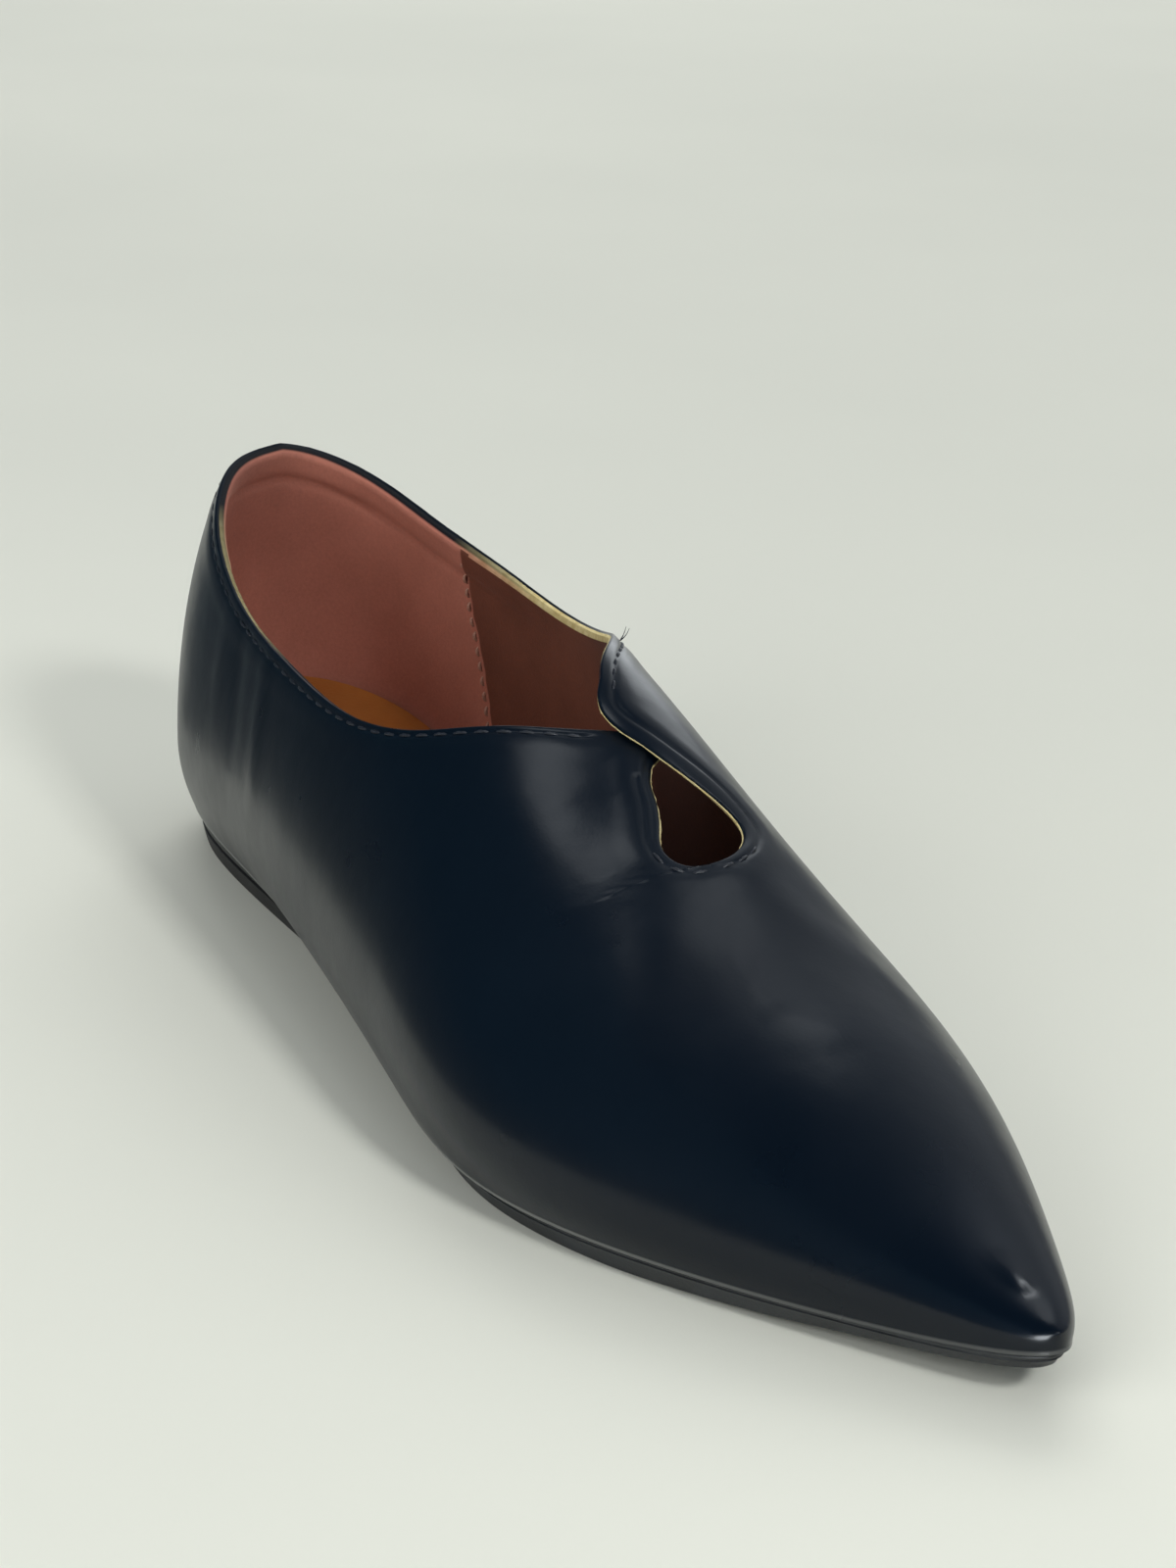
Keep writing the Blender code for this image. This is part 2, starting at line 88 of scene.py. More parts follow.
# The cut edge of the upper, from the back seam along the wearer's right, round the under flap and
# the keyhole, along the over flap and back along the left. Girth runs from 0 at the right feather
# edge, over the ridge at 1, to 2 at the left feather edge. Steps is the number of mesh columns up to
# the next row, before refining.
EDGE_COLUMNS = ("station", "girth", "steps")
CUT_EDGE = (
    (0.000, 0.620, 4),
    (0.063, 0.598, 2),
    (0.115, 0.538, 3),
    (0.229, 0.471, 2),
    (0.289, 0.485, 2),
    (0.348, 0.511, 2),
    (0.425, 0.569, 2),
    (0.480, 0.666, 3),
    (0.531, 0.865, 3),
    (0.547, 0.990, 3),
    (0.561, 1.100, 3),
    (0.574, 1.015, 3),
    (0.594, 0.979, 2),
    (0.614, 0.951, 2),
    (0.6335, 0.929, 2),
    (0.6445, 0.957, 2),
    (0.6455, 1.020, 3),
    (0.6345, 1.125, 2),
    (0.6245, 1.167, 2),
    (0.614, 1.183, 2),
    (0.594, 1.129, 3),
    (0.565, 1.008, 3),
    (0.5345, 0.957, 3),
    (0.508, 1.005, 3),
    (0.470, 1.144, 3),
    (0.401, 1.345, 3),
    (0.344, 1.446, 2),
    (0.282, 1.502, 2),
    (0.229, 1.518, 3),
    (0.115, 1.487, 2),
    (0.063, 1.434, 4),
    (0.000, 1.380, 0),
)

# How the edge is finished along CUT_EDGE, by its row number: distance of the topstitch line, thickness
# left at the edge, how far the leather rolls down to it and how far the cream backing peeks out, all
# in millimetres, and how much of the backing and of a second groove shows
FINISH_COLUMNS = ("row", "inset", "thick", "roll", "peek", "raw", "welt")
EDGE_FINISH = (
    (1, 2.0, 1.30, 0.10, 0.00, 0.00, 0.0),
    (2, 2.0, 1.30, 0.10, 0.00, 0.35, 0.0),
    (3, 1.9, 1.30, 0.10, 0.00, 0.40, 0.0),
    (5, 1.5, 1.30, 0.10, 0.00, 0.00, 0.0),
    (7, 1.1, 1.30, 0.10, 0.00, 0.00, 0.0),
    (9, 1.8, 1.40, 0.15, 0.00, 0.40, 0.0),
    (11, 2.4, 1.40, 0.75, 0.20, 0.80, 1.0),
    (13, 2.4, 1.40, 0.50, 0.28, 0.90, 1.0),
    (14, 1.9, 1.40, 0.35, 0.20, 0.80, 0.6),
    (16, 1.3, 1.40, 0.25, 0.00, 0.15, 0.0),
    (18, 2.3, 1.20, 0.40, 0.05, 1.00, 0.0),
    (20, 3.8, 1.10, 0.45, 0.05, 1.00, 0.0),
    (22, 2.6, 1.10, 0.40, 0.00, 1.00, 0.0),
    (22.5, 2.5, 1.10, 0.40, 0.00, 0.15, 0.0),
    (23.3, 2.3, 1.10, 0.30, 0.00, 0.15, 0.0),
    (24, 2.2, 1.20, 0.25, 0.00, 1.00, 0.0),
    (25, 2.2, 1.30, 0.05, 0.00, 1.00, 0.0),
    (27, 2.3, 1.30, 0.05, 0.00, 0.90, 0.0),
    (28, 2.4, 1.30, 0.05, 0.00, 0.50, 0.0),
    (29, 2.4, 1.30, 0.10, 0.00, 0.00, 0.0),
)

# How the surface is worked out: its length for a girth of 1, columns, steps and tolerances
GIRTH_LENGTH = 0.055
TOE_STEPS = 24
TOE_GRADING = 1.3
BASE_SMOOTHING = 40
CORNER_HALVINGS = 30
CORNER_LIMIT = 0.9
END_MARGIN = 0.02
NORMAL_STEP = 1e-4
WELD = 3e-5
EXTENT_GRID = (721, 81)

# Stations, and for the last line girths, where the hollow's toe is round, where insets point to, and
# where the under half dips below the over flap
TOE_ROUNDING = (0.90, 0.970)
MIDDLE_LINE = (0.10, 0.86)
DIP_STATIONS = (0.46, 0.53, 0.58, 0.64)
DIP_GIRTHS = (0.66, 0.93)

# How far the sole and the inner edge of the lasting margin stand in from the feather edge, and the
# thickness of the sole
TUCK_COLUMNS = ("station", "sole", "margin", "thickness")
TUCKS = (
    (0.00, 0.0004, 0.007, 0.0038),
    (0.15, 0.0009, 0.007, 0.0038),
    (0.30, 0.0030, 0.007, 0.0038),
    (0.42, 0.0050, 0.008, 0.0038),
    (0.54, 0.0035, 0.008, 0.0040),
    (0.65, 0.0012, 0.007, 0.0041),
    (0.80, 0.0009, 0.007, 0.0039),
    (0.93, 0.0009, 0.009, 0.0028),
    (1.00, 0.0010, 0.014, 0.0022),
)

# The fine mesh of the upper
FINE = 4
OUTER_ROWS = 60
INNER_ROWS = 40
ROW_GRADING = 1.7
LIP_SHARES = (0.0, 0.003, 0.006, 0.010, 0.015, 0.022, 0.030)
CUT_SHARES = (0.20, 0.45, 0.52, 0.76)
CUT_ROWS = (OUTER_ROWS, OUTER_ROWS + len(CUT_SHARES) + 1)
LEATHER_STRIPS = 2
LINE_SPACING = 0.1 * MM
KEYHOLE_RIM = 0.60
SETTLE_STEPS = 8
SEED = 7

# Relief of the leather beside a cut edge and along the sole
EDGE_ROUND = 0.25 * MM
GROOVE_DEPTH = 0.28 * MM
GROOVE_WIDTH = 0.45 * MM
PUFF_HEIGHT = 0.14 * MM
PUFF_REACH = 2.4 * MM
PUFF_WIDTH = 1.8 * MM
CREAM_WIDTH = 0.95 * MM
WELT_PLACE = 0.48
WELT_DEPTH = 0.20 * MM
WELT_WIDTH = 0.35 * MM
CREAM_RAGGED = 0.07 * MM
LIP_HEIGHT = 0.16 * MM
LIP_WIDTH = 0.45 * MM
TURNED_EDGE = (0.25 * MM, 0.50 * MM)

# The lining: a padded rim round the heel, and a heel pocket sewn on along a sloping seam
RIM_HEIGHT = 0.45 * MM
RIM_WIDTH = 6.0 * MM
RIM_LINE = 0.9 * MM
RIM_FADE = (0.16, 0.27)
POCKET_STEP = 0.30 * MM
POCKET_SLOPE = 0.8 * MM
SEAM_X = (0.0420, 0.0470)
SEAM_Z = (0.0470, 0.0210)

# Soft creases, as (station, girth) of start, middle and end, width and height in millimetres
CREASES = (
    ((0.272, 0.500), (0.287, 0.400), (0.292, 0.235), 2.6, 0.42),
    ((0.224, 0.480), (0.236, 0.390), (0.245, 0.240), 3.2, -0.40),
    ((0.185, 0.460), (0.206, 0.370), (0.190, 0.250), 3.4, 0.30),
    ((0.646, 0.925), (0.690, 0.770), (0.776, 0.475), 5.0, 0.45),
    ((0.655, 1.000), (0.700, 0.960), (0.760, 0.900), 6.0, -0.35),
    ((0.755, 0.890), (0.780, 0.955), (0.800, 1.000), 4.5, 0.28),
    ((0.585, 0.930), (0.610, 0.845), (0.645, 0.760), 4.5, -0.35),
    ((0.942, 0.950), (0.958, 0.964), (0.974, 0.978), 4.6, 0.42),
    ((0.300, 1.560), (0.310, 1.640), (0.305, 1.760), 3.0, 0.35),
    ((0.255, 1.560), (0.262, 1.660), (0.258, 1.760), 3.2, -0.32),
    ((0.652, 1.080), (0.700, 1.220), (0.770, 1.450), 5.0, 0.35),
)
CREASE_POINTS = 24

# Threads. A stitch's arch is its height, the power of its curve and how deep its ends sink, in radii.
STITCH_PITCH = 3.7 * MM
STITCH_LENGTH = 3.0 * MM
STITCH_RADIUS = 0.27 * MM
SEAM_PITCH = 2.9 * MM
SEAM_LENGTH = 2.2 * MM
SEAM_RADIUS = 0.36 * MM
STITCH_RINGS = 9
STITCH_SIDES = 10
STITCH_ARCH = (1.9, 0.6, 1.35)
STITCH_SWELL = (0.72, 0.28)
SEAM_CLIMB = np.linspace(0.20, 0.475, 60)
SEAM_BACK = 1.2 * MM
FLAP_REACH = (0.545, 0.578)
SUNK_STITCHES = (0.526, 0.626)
TAIL_PLACE = (0.434, 1.285)
TAIL_RADIUS = 0.11 * MM
TAIL_TAPER = 0.7
TAIL_HAIRS = (
    ((0.2, 1.1, 0.7), (0.1, 1.6, 2.0)),
    ((-0.1, 0.8, 0.9), (-0.3, 1.2, 2.2)),
)
PLY_DEPTH = 0.16
PLY_TWIST = 5.0

# Rings of outsole and heel, lowest first: millimetres in from the side, share of the height, and rise
# in millimetres. Rings of the insole: millimetres in, and share of its thickness.
SOLE_PROFILE = (
    (1.50, 0.00, 0.00),
    (1.25, 0.00, 0.12),
    (1.10, 0.00, 0.40),
    (0.55, 0.55, 0.00),
    (0.12, 1.00, -1.00),
    (0.30, 1.00, -0.86),
    (0.28, 1.00, -0.74),
    (-0.05, 1.00, -0.56),
    (-0.12, 1.00, -0.36),
    (0.00, 1.00, -0.14),
    (0.25, 1.00, -0.02),
    (0.50, 1.00, 0.00),
)
HEEL_PROFILE = (
    (1.20, 0.00, 0.00),
    (0.95, 0.00, 0.10),
    (0.80, 0.00, 0.40),
    (0.40, 0.50, 0.00),
    (0.08, 1.00, -0.35),
    (0.02, 1.00, -0.15),
    (0.15, 1.00, 0.00),
)
INSOLE_PROFILE = (
    (0.00, 0.00),
    (0.00, 0.15),
    (0.00, 0.30),
    (0.00, 0.45),
    (0.00, 0.60),
    (0.00, 0.72),
    (0.06, 0.84),
    (0.22, 0.95),
    (0.45, 1.00),
)
SOLE_COLUMNS = 161
HEEL_COLUMNS = 81
INSOLE_COLUMNS = 121
HEEL_INSET = 1.1 * MM
CAP_STRIPS = 8
SHARP_ANGLE = math.radians(50)

# Two tones of each material, and single shades over them
LEATHER_TONES = ((0.0010, 0.0036, 0.0088, 1), (0.0016, 0.0048, 0.0108, 1))
CREAM_TONES = ((0.78, 0.68, 0.36, 1), (0.58, 0.47, 0.20, 1))
TURNED_TONES = ((0.004, 0.005, 0.008, 1), (0.012, 0.012, 0.014, 1))
SUEDE_TONES = ((0.52, 0.20, 0.145, 1), (0.44, 0.165, 0.118, 1))
LINING_TONES = ((0.175, 0.060, 0.037, 1), (0.13, 0.044, 0.027, 1))
# Painted shade for the lining deep inside the toe
LINING_SHADE = (0.016, 0.006, 0.006, 1)
NAP_SHADE = (0.03, 0.010, 0.008, 1)
NAP_SHEEN = (0.80, 0.45, 0.36, 1)
INSOLE_TONES = ((0.36, 0.125, 0.022, 1), (0.27, 0.088, 0.016, 1))
SOLE_TONE = (0.016, 0.018, 0.021)
HEEL_TONE = (0.012, 0.012, 0.013)
RUBBER_LIFT = 1.7
RUBBER_SPREAD = 0.06
DARK_THREAD = ((0.010, 0.012, 0.018, 1), (0.022, 0.025, 0.034, 1))
PALE_THREAD = ((0.46, 0.25, 0.19, 1), (0.34, 0.17, 0.12, 1))
FLOOR_TONES = ((0.78, 0.80, 0.735, 1), (0.74, 0.76, 0.70, 1))
FLAG_TONES = ((0.06, 0.13, 0.19, 1), (0.08, 0.16, 0.23, 1))
FLAG_FOOT = (0.24, 0.26, 0.27, 1)

# Camera, in the photograph's own pixels and the shoe's metres
PHOTO_HEIGHT = 1600
FOCAL_PIXELS = 3421.18
SENSOR = 36.0
CAMERA_AZIMUTH = math.radians(62.43)
CAMERA_ELEVATION = math.radians(20.59)
CAMERA_ROLL = math.radians(1.70)
CAMERA_DISTANCE = 0.55226
CAMERA_TARGET = (0.12278, 0.00894, 0.04236)

# Roughness of the leather, which is polished smoother at the toe from x to x in metres, and of the insole
LEATHER_GLOSS = (0.27, 0.34)
TOE_GLOSS = 0.24
TOE_POLISH = (0.095, 0.118)
INSOLE_GLOSS = (0.42, 0.56)

# Where painted shade darkens the lining towards the toe, deep inside the shoe, from x to x in metres
LINING_SHADE_REACH = (-0.044, -0.024)

# Painted highlight: a light line along the leather's bottom edge at the sole, standing in for light
# caught there: its reach, and how it fades to the toe
EDGE_HIGHLIGHT_REACH = (0.40 * MM, 0.75 * MM)
EDGE_HIGHLIGHT_FADE = (0.03, 0.11)
EDGE_HIGHLIGHT_SHARE = (1.0, 0.35)
EDGE_HIGHLIGHT_COLOUR = (0.20, 0.205, 0.20, 1)

# Rawness from which the cream backing begins to show and shows fully, and the edge of the pocket
RAW_SHOWN = (0.15, 0.75)
POCKET_EDGE = (-0.2 * MM, 0.2 * MM)

# Values of a noise between which colours and gloss follow it, and the share of the nap's shade
NOISE_SPAN = (0.3, 0.7)
LEATHER_SPAN = (0.35, 0.65)
PATCH_SPAN = (0.35, 0.7)
NAP_SPAN = (0.25, 0.75)
NAP_SHARE = (0.0, 0.22)

# Stage. Places of lights and flag are to the image's right, away from the camera, and up, in metres.
# The soft lights light everything diffusely, and the gloss lights show in the gloss alone.
FLOOR_HALF = 4.0
FLAG_PLACE = (-0.30, -0.11)
FLAG_GRADE = (0.0, 0.10)
FLAG_REACH = (-0.8, 0.15, 0.5)
WORLD_SIDE = (0.8, 0.6)
WORLD_SPAN = (0.05, 1.0)
WORLD_DIM = (0.022, 0.036, 0.046, 1)
WORLD_LIGHT = (0.30, 0.32, 0.34, 1)
LIGHT_COLOUR = (1.0, 0.99, 0.96)
GLOSS_COLOUR = (0.92, 0.97, 1.0)
LIGHT_TARGET = (0.0, 0.0, 0.03)
SOFT_LIGHTS = (
    ("key", (0.51, -0.75, 0.79), (0.18, 0.18), 5.4),
    ("front_fill", (-0.85, -0.85, 0.65), (0.9, 0.9), 9.5),
    ("overhead", (0.00, 0.20, 1.70), (2.4, 2.4), 10.0),
    ("far", (0.00, 1.90, 1.50), (1.8, 1.2), 24.0),
)
GLOSS_LIGHTS = (
    ("right_sky", (0.55, 0.95, 0.86), (1.20, 1.20), 0.9),
    ("low_wall", (-0.55, 1.10, 0.15), (0.90, 0.35), 0.5),
    ("low_right", (0.14, 1.10, 0.15), (0.48, 0.35), 0.52),
    ("front", (0.51, -0.75, 0.79), (0.25, 0.25), 5.0),
    ("left_sky", (-0.90, 0.10, 0.70), (0.9, 0.9), 0.35),
    ("throat_lamp", (-0.005, -0.006, 0.116), (0.024, 0.024), 0.0052),
    ("vamp_lamp", (0.047, -0.022, 0.100), (0.032, 0.032), 0.0048),
    ("flap_lamp", (0.058, 0.140, 0.105), (0.07, 0.07), 0.025),
    ("toe_lamp", (0.0825, -0.0855, 0.055), (0.022, 0.018), 0.020),
    ("tip_lamp", (0.046, -0.209, 0.018), (0.05, 0.05), 0.14),
)


def natural_spline(knots, values):
    """Smooth curve through (knots, values), straight at both ends."""
    knots = np.asarray(knots, float)
    values = np.asarray(values, float)
    steps = np.diff(knots)
    slopes = np.diff(values) / steps
    matrix = np.eye(len(knots))
    bends = np.zeros(len(knots))
    for i in range(1, len(knots) - 1):
        matrix[i, i - 1:i + 2] = steps[i - 1], 2 * (steps[i - 1] + steps[i]), steps[i]
        bends[i] = 6 * (slopes[i] - slopes[i - 1])
    second = np.linalg.solve(matrix, bends)

    def curve(t):
        t = np.asarray(t, float)
        i = np.clip(np.searchsorted(knots, t) - 1, 0, len(steps) - 1)
        width = steps[i]
        a = (knots[i + 1] - t) / width
        b = 1 - a
        bend = (a**3 - a) * second[i] + (b**3 - b) * second[i + 1]
        return a * values[i] + b * values[i + 1] + bend * width**2 / 6

    return curve


def mirrored_spline(knots, values, sign):
    """Spline that goes on past both ends as its mirror image, even (+1) or odd (-1)."""
    knots = np.asarray(knots, float)
    values = np.asarray(values, float)
    before = 2 * knots[0] - knots[3:0:-1]
    after = 2 * knots[-1] - knots[-2:-5:-1]
    head = values[0] + sign * (values[3:0:-1] - values[0])
    tail = values[-1] + sign * (values[-2:-5:-1] - values[-1])
    return natural_spline(np.concatenate([before, knots, after]), np.concatenate([head, values, tail]))


def angle_of(station):
    """Angle along the shoe, 0 at the back and pi at the toe, so that both ends round off."""
    return np.arccos(1 - 2 * np.clip(station, 0, 1))


def station_of(angle):
    return (1 - np.cos(angle)) / 2


def ramp(value, start, end):
    """Smooth step from 0 at start to 1 at end."""
    t = np.clip((np.asarray(value, float) - start) / (end - start), 0, 1)
    return t * t * (3 - 2 * t)


def bezier(start, pull_start, pull_end, end, t):
    u = 1 - t
    return u**3 * start + 3 * u * u * t * pull_start + 3 * u * t * t * pull_end + t**3 * end


def bent(start, middle, end, t):
    """Curve from start to end that is drawn to the middle."""
    return (1 - t) ** 2 * start + 2 * t * (1 - t) * middle + t * t * end


def bell(distance, width):
    return np.exp(-((distance / width) ** 2))


def unit(vectors):
    return vectors / np.linalg.norm(vectors, axis=-1, keepdims=True)


def run_of(line):
    """Distance along a polyline at each of its points."""
    return np.concatenate([[0], np.cumsum(np.linalg.norm(np.diff(line, axis=0), axis=1))])


def read_line(place, run, line):
    """Points of a polyline at distances along it."""
    return np.stack([np.interp(place, run, line[:, k]) for k in range(3)], axis=-1)


def grid_quads(number):
    """Quads between the neighbours in a grid of point numbers."""
    corners = [number[:-1, :-1], number[:-1, 1:], number[1:, 1:], number[1:, :-1]]
    return np.stack(corners, axis=-1).reshape(-1, 4)


def side_girth(climb, under):
    """Girth at a climb from the feather edge of the right, under half or of the left, and the reverse."""
    return climb if under else 2 - climb


def section_curves():
    """Curve along the shoe of each column of the sections, in metres."""
    stations, *columns = (np.array(SECTIONS) * SECTION_SCALES).T
    curves = {}
    for name, values in zip(SECTION_COLUMNS[1:], columns):
        sign = -1 if name in ODD_COLUMNS else 1
        curves[name] = mirrored_spline(angle_of(stations), values, sign)
    return curves


CURVES = section_curves()


def last_surface(angle, girth):
    """Outer face of the upper: points at an angle along the shoe and a girth across it."""
    angle, girth = np.broadcast_arrays(np.asarray(angle, float), np.asarray(girth, float))
    on_right = girth <= 1
    climb = np.where(on_right, girth, 2 - girth)
    side = np.where(on_right, -1.0, 1.0)
    at = {name: curve(angle) for name, curve in CURVES.items()}
    feather = np.where(on_right, at["feather_right"], at["feather_left"])
    widest = np.where(on_right, at["widest_right"], at["widest_left"])
    ridge = at["ridge_shift"] * side
    low, mid, top = at["feather_height"], at["widest_height"], at["ridge_height"]
    below = np.clip(climb / WIDEST_GIRTH, 0, 1)
    above = np.clip((climb - WIDEST_GIRTH) / (1 - WIDEST_GIRTH), 0, 1)
    out_pull, foot_pull, side_drop = FEATHER_PULLS
    y_low = bezier(feather, feather + (widest - feather) * out_pull, widest, widest, below)
    z_low = bezier(low, low + (mid - low) * foot_pull, mid - (mid - low) * side_drop, mid, below)
    y_high = bezier(widest, widest, ridge + at["ridge_pull"] * (widest - ridge), ridge, above)
    z_high = bezier(mid, mid + at["side_pull"] * (top - mid), top, top, above)
    upper_part = climb > WIDEST_GIRTH
    y = np.where(upper_part, y_high, y_low)
    z = np.where(upper_part, z_high, z_low)
    x = LENGTH * station_of(angle)
    lean = BACK_LEAN * np.clip(1 - x / LEAN_REACH, 0, 1) ** 2
    x = x + lean * ((z - CURVES["widest_height"](0.0)) / LEAN_HEIGHT) ** 2
    return np.stack([x, at["centre"] + side * y, z], axis=-1)


def last_normal(angle, girth):
    """Outward unit normal of the last surface, without a sideways part on the back and toe lines."""
    angle, girth = np.broadcast_arrays(np.asarray(angle, float), np.asarray(girth, float))
    near = np.clip(angle, END_MARGIN, math.pi - END_MARGIN)
    along = last_surface(near + NORMAL_STEP, girth) - last_surface(near - NORMAL_STEP, girth)
    across = last_surface(near, girth + NORMAL_STEP) - last_surface(near, girth - NORMAL_STEP)
    normal = np.cross(along, across)
    normal[..., 1] = np.where(near == angle, normal[..., 1], 0.0)
    return unit(normal)


def bottom_height(x):
    """Height of the feather plane over the floor at a distance from the back."""
    return CURVES["feather_height"](angle_of(np.asarray(x, float) / LENGTH))


def flap_dip(angle, girth):
    """How deep the right half lies below the last surface where it passes under the over flap."""
    station = station_of(angle)
    along = ramp(station, *DIP_STATIONS[:2]) * (1 - ramp(station, *DIP_STATIONS[2:]))
    return (WALL + GAP) * along * ramp(girth, *DIP_GIRTHS)


def outer_face(angle, girth, under):
    """Outer face of the upper, where the under half dips below the over flap."""
    if not under:
        return last_surface(angle, girth)
    depth = np.expand_dims(flap_dip(angle, girth), -1)
    return last_surface(angle, girth) - last_normal(angle, girth) * depth


def inner_face(angle, girth, under):
    return outer_face(angle, girth, under) - WALL * last_normal(angle, girth)


def half_columns():
    """Columns of the right, under half and of the left one, back to toe, as a dictionary each: angle at
    the base, angle, girth and climb on top, and the finish of the edge there."""
    edge = dict(zip(EDGE_COLUMNS, np.array(CUT_EDGE).T))
    along = angle_of(edge["station"]) * LENGTH / 2
    up = edge["girth"] * GIRTH_LENGTH
    knots = run_of(np.stack([along, up], axis=-1))
    samples = [0.0]
    for start, end, steps in zip(knots, knots[1:], edge["steps"][:-1]):
        samples.extend(np.linspace(start, end, int(steps) * FINE + 1)[1:])
    angles = mirrored_spline(knots, along, -1)(samples) / (LENGTH / 2)
    girths = mirrored_spline(knots, up, 1)(samples) / GIRTH_LENGTH
    finish = dict(zip(FINISH_COLUMNS, np.array(EDGE_FINISH).T))
    rows = np.interp(samples, knots, np.arange(len(CUT_EDGE)))
    angles[0] = 0.0
    angles[-1] = 0.0
    off_ridge = np.where(station_of(angles) > KEYHOLE_RIM, np.abs(girths - 1), np.inf)
    keyhole = int(np.argmin(off_ridge))
    girths[keyhole] = 1.0
    toe_steps = TOE_STEPS * FINE
    shares = np.linspace(0, 1, toe_steps + 1)[1:] ** TOE_GRADING
    vamp = angles[keyhole] + (math.pi - angles[keyhole]) * shares
    halves = []
    for under, part in ((True, slice(None, keyhole + 1)), (False, slice(None, keyhole - 1, -1))):
        base = angles[part].copy()
        for _ in range(BASE_SMOOTHING * FINE**2):
            base[1:-1] = (base[:-2] + base[2:]) / 2
        girth = np.concatenate([girths[part], np.ones(toe_steps)])
        half = {
            "under": under,
            "edge_count": len(base),
            "base": np.concatenate([base, vamp]),
            "top": np.concatenate([angles[part], vamp]),
            "girth": girth,
            "climb": side_girth(girth, under),
        }
        half_rows = np.concatenate([rows[part], np.full(toe_steps, rows[keyhole])])
        for name in FINISH_COLUMNS[1:]:
            scale = 1.0 if name in ("raw", "welt") else MM
            half[name] = np.interp(half_rows, finish["row"], finish[name] * scale)
        halves.append(half)
    return halves


def tuck(angles, column):
    rows = np.array(TUCKS)
    return natural_spline(angle_of(rows[:, 0]), rows[:, TUCK_COLUMNS.index(column)])(angles)


def moved_in(line, inset):
    """Plan points moved in by an inset towards the middle line of the sole."""
    middle_x = np.clip(line[:, 0], *(np.array(MIDDLE_LINE) * LENGTH))
    middle_y = CURVES["centre"](angle_of(middle_x / LENGTH))
    inward = np.stack([middle_x, middle_y], axis=-1) - line[:, :2]
    reach = np.linalg.norm(inward, axis=-1)
    return line[:, :2] + inward * (inset / reach)[:, None]


def insole_depth(x):
    """Thickness of the insole, which swells to a soft pad under the heel."""
    return INSOLE_THICKNESS + PAD_HEIGHT * np.clip(1 - x / PAD_LENGTH, 0, 1) ** PAD_CURVE


def inner_climb(angle, under, share=0.0):
    """Climb from the feather edge at which the inner face is level with the top of the lasting margin,
    or with a share of the insole's thickness above it."""
    low = np.zeros_like(angle)
    high = np.full_like(angle, CORNER_LIMIT)
    for _ in range(CORNER_HALVINGS):
        middle = (low + high) / 2
        point = inner_face(angle, side_girth(middle, under), under)
        level = bottom_height(point[:, 0]) + WALL + share * insole_depth(point[:, 0])
        above = point[:, 2] > level
        high = np.where(above, middle, high)
        low = np.where(above, low, middle)
    return high


def hollow_angle(angle, keyhole):
    """Angle of the inner face behind an outer angle: the hollow's toe lies behind the shoe's."""
    return np.interp(angle, (0, keyhole, math.pi), (0, keyhole, angle_of(TOE_ROUNDING[1])))


def round_toe(points, angle, shares):
    """Inner rows drawn in to the middle line, so that the hollow ends in a round toe."""
    start, end = TOE_ROUNDING
    along = np.clip((station_of(angle) - start) / (end - start), 0, 1)
    width = np.sqrt(1 - along**2)
    centre = CURVES["centre"](angle)
    points[..., 1] = centre + (points[..., 1] - centre) * width
    low = bottom_height(LENGTH * end) + WALL
    tip = angle_of(end)
    high = inner_face(tip, 1.0, False)[2]
    points[:, -1, 0] = LENGTH * end
    points[:, -1, 1] = CURVES["centre"](tip)
    points[:, -1, 2] = low + (high - low) * shares
    return points


def dense(line):
    """The same polyline with points about LINE_SPACING apart, and each one's place among the old."""
    run = run_of(line)
    count = max(2, int(run[-1] / LINE_SPACING))
    place = np.linspace(0, run[-1], count)
    return read_line(place, run, line), np.interp(place, run, np.arange(len(line)))


def nearest(points, line):
    """Index of the nearest point of a line, and the distance to it, for an array of points."""
    tree = kdtree.KDTree(len(line))
    for index, point in enumerate(line):
        tree.insert(point, index)
    tree.balance()
    found = np.array([tree.find(point)[1:] for point in points.reshape(-1, 3)])
    shape = points.shape[:-1]
    return found[:, 0].astype(int).reshape(shape), found[:, 1].reshape(shape)


def settled(target, angle, girth, under):
    """Angle and girth of the surface points nearest to target points, from a first guess."""
    for _ in range(SETTLE_STEPS):
        here = outer_face(angle, girth, under)
        by_angle = (outer_face(angle + NORMAL_STEP, girth, under) - here) / NORMAL_STEP
        by_girth = (outer_face(angle, girth + NORMAL_STEP, under) - here) / NORMAL_STEP
        slopes = np.stack([by_angle, by_girth], axis=-2)
        square = slopes @ slopes.swapaxes(-1, -2)
        step = np.linalg.solve(square, slopes @ (target - here)[..., None])
        angle = angle + step[..., 0, 0]
        girth = girth + step[..., 1, 0]
    return angle, girth


def stitch_line(columns):
    """Angle and girth along the topstitch line of one half, set in from its cut edge."""
    count = columns["edge_count"]
    under = columns["under"]
    angle = np.clip(columns["top"][:count], END_MARGIN, None)
    girth = columns["girth"][:count]
    edge = outer_face(angle, girth, under)
    normal = last_normal(angle, girth)
    along = np.gradient(edge, axis=0)
    inward = unit(np.cross(along, normal) if under else np.cross(normal, along))
    target = edge + inward * columns["inset"][:count, None]
    for _ in range(FINE):
        target[1:-1] = (target[:-2] + 2 * target[1:-1] + target[2:]) / 4
    return settled(target, angle, girth, under)


def stitch_lines(halves):
    """The stretches of topstitching: right collar, right of the keyhole, and the whole left side."""
    right, left = halves
    angle, girth = stitch_line(right)
    tip = int(np.argmax(right["girth"][:right["edge_count"]]))
    station = station_of(angle)
    index = np.arange(len(angle))
    collar = (index < tip) & (station < FLAP_REACH[0])
    keyhole = (index > tip) & (station > FLAP_REACH[1])
    lines = [(angle[part], girth[part], True) for part in (collar, keyhole)]
    return lines + [(*stitch_line(left), False)]


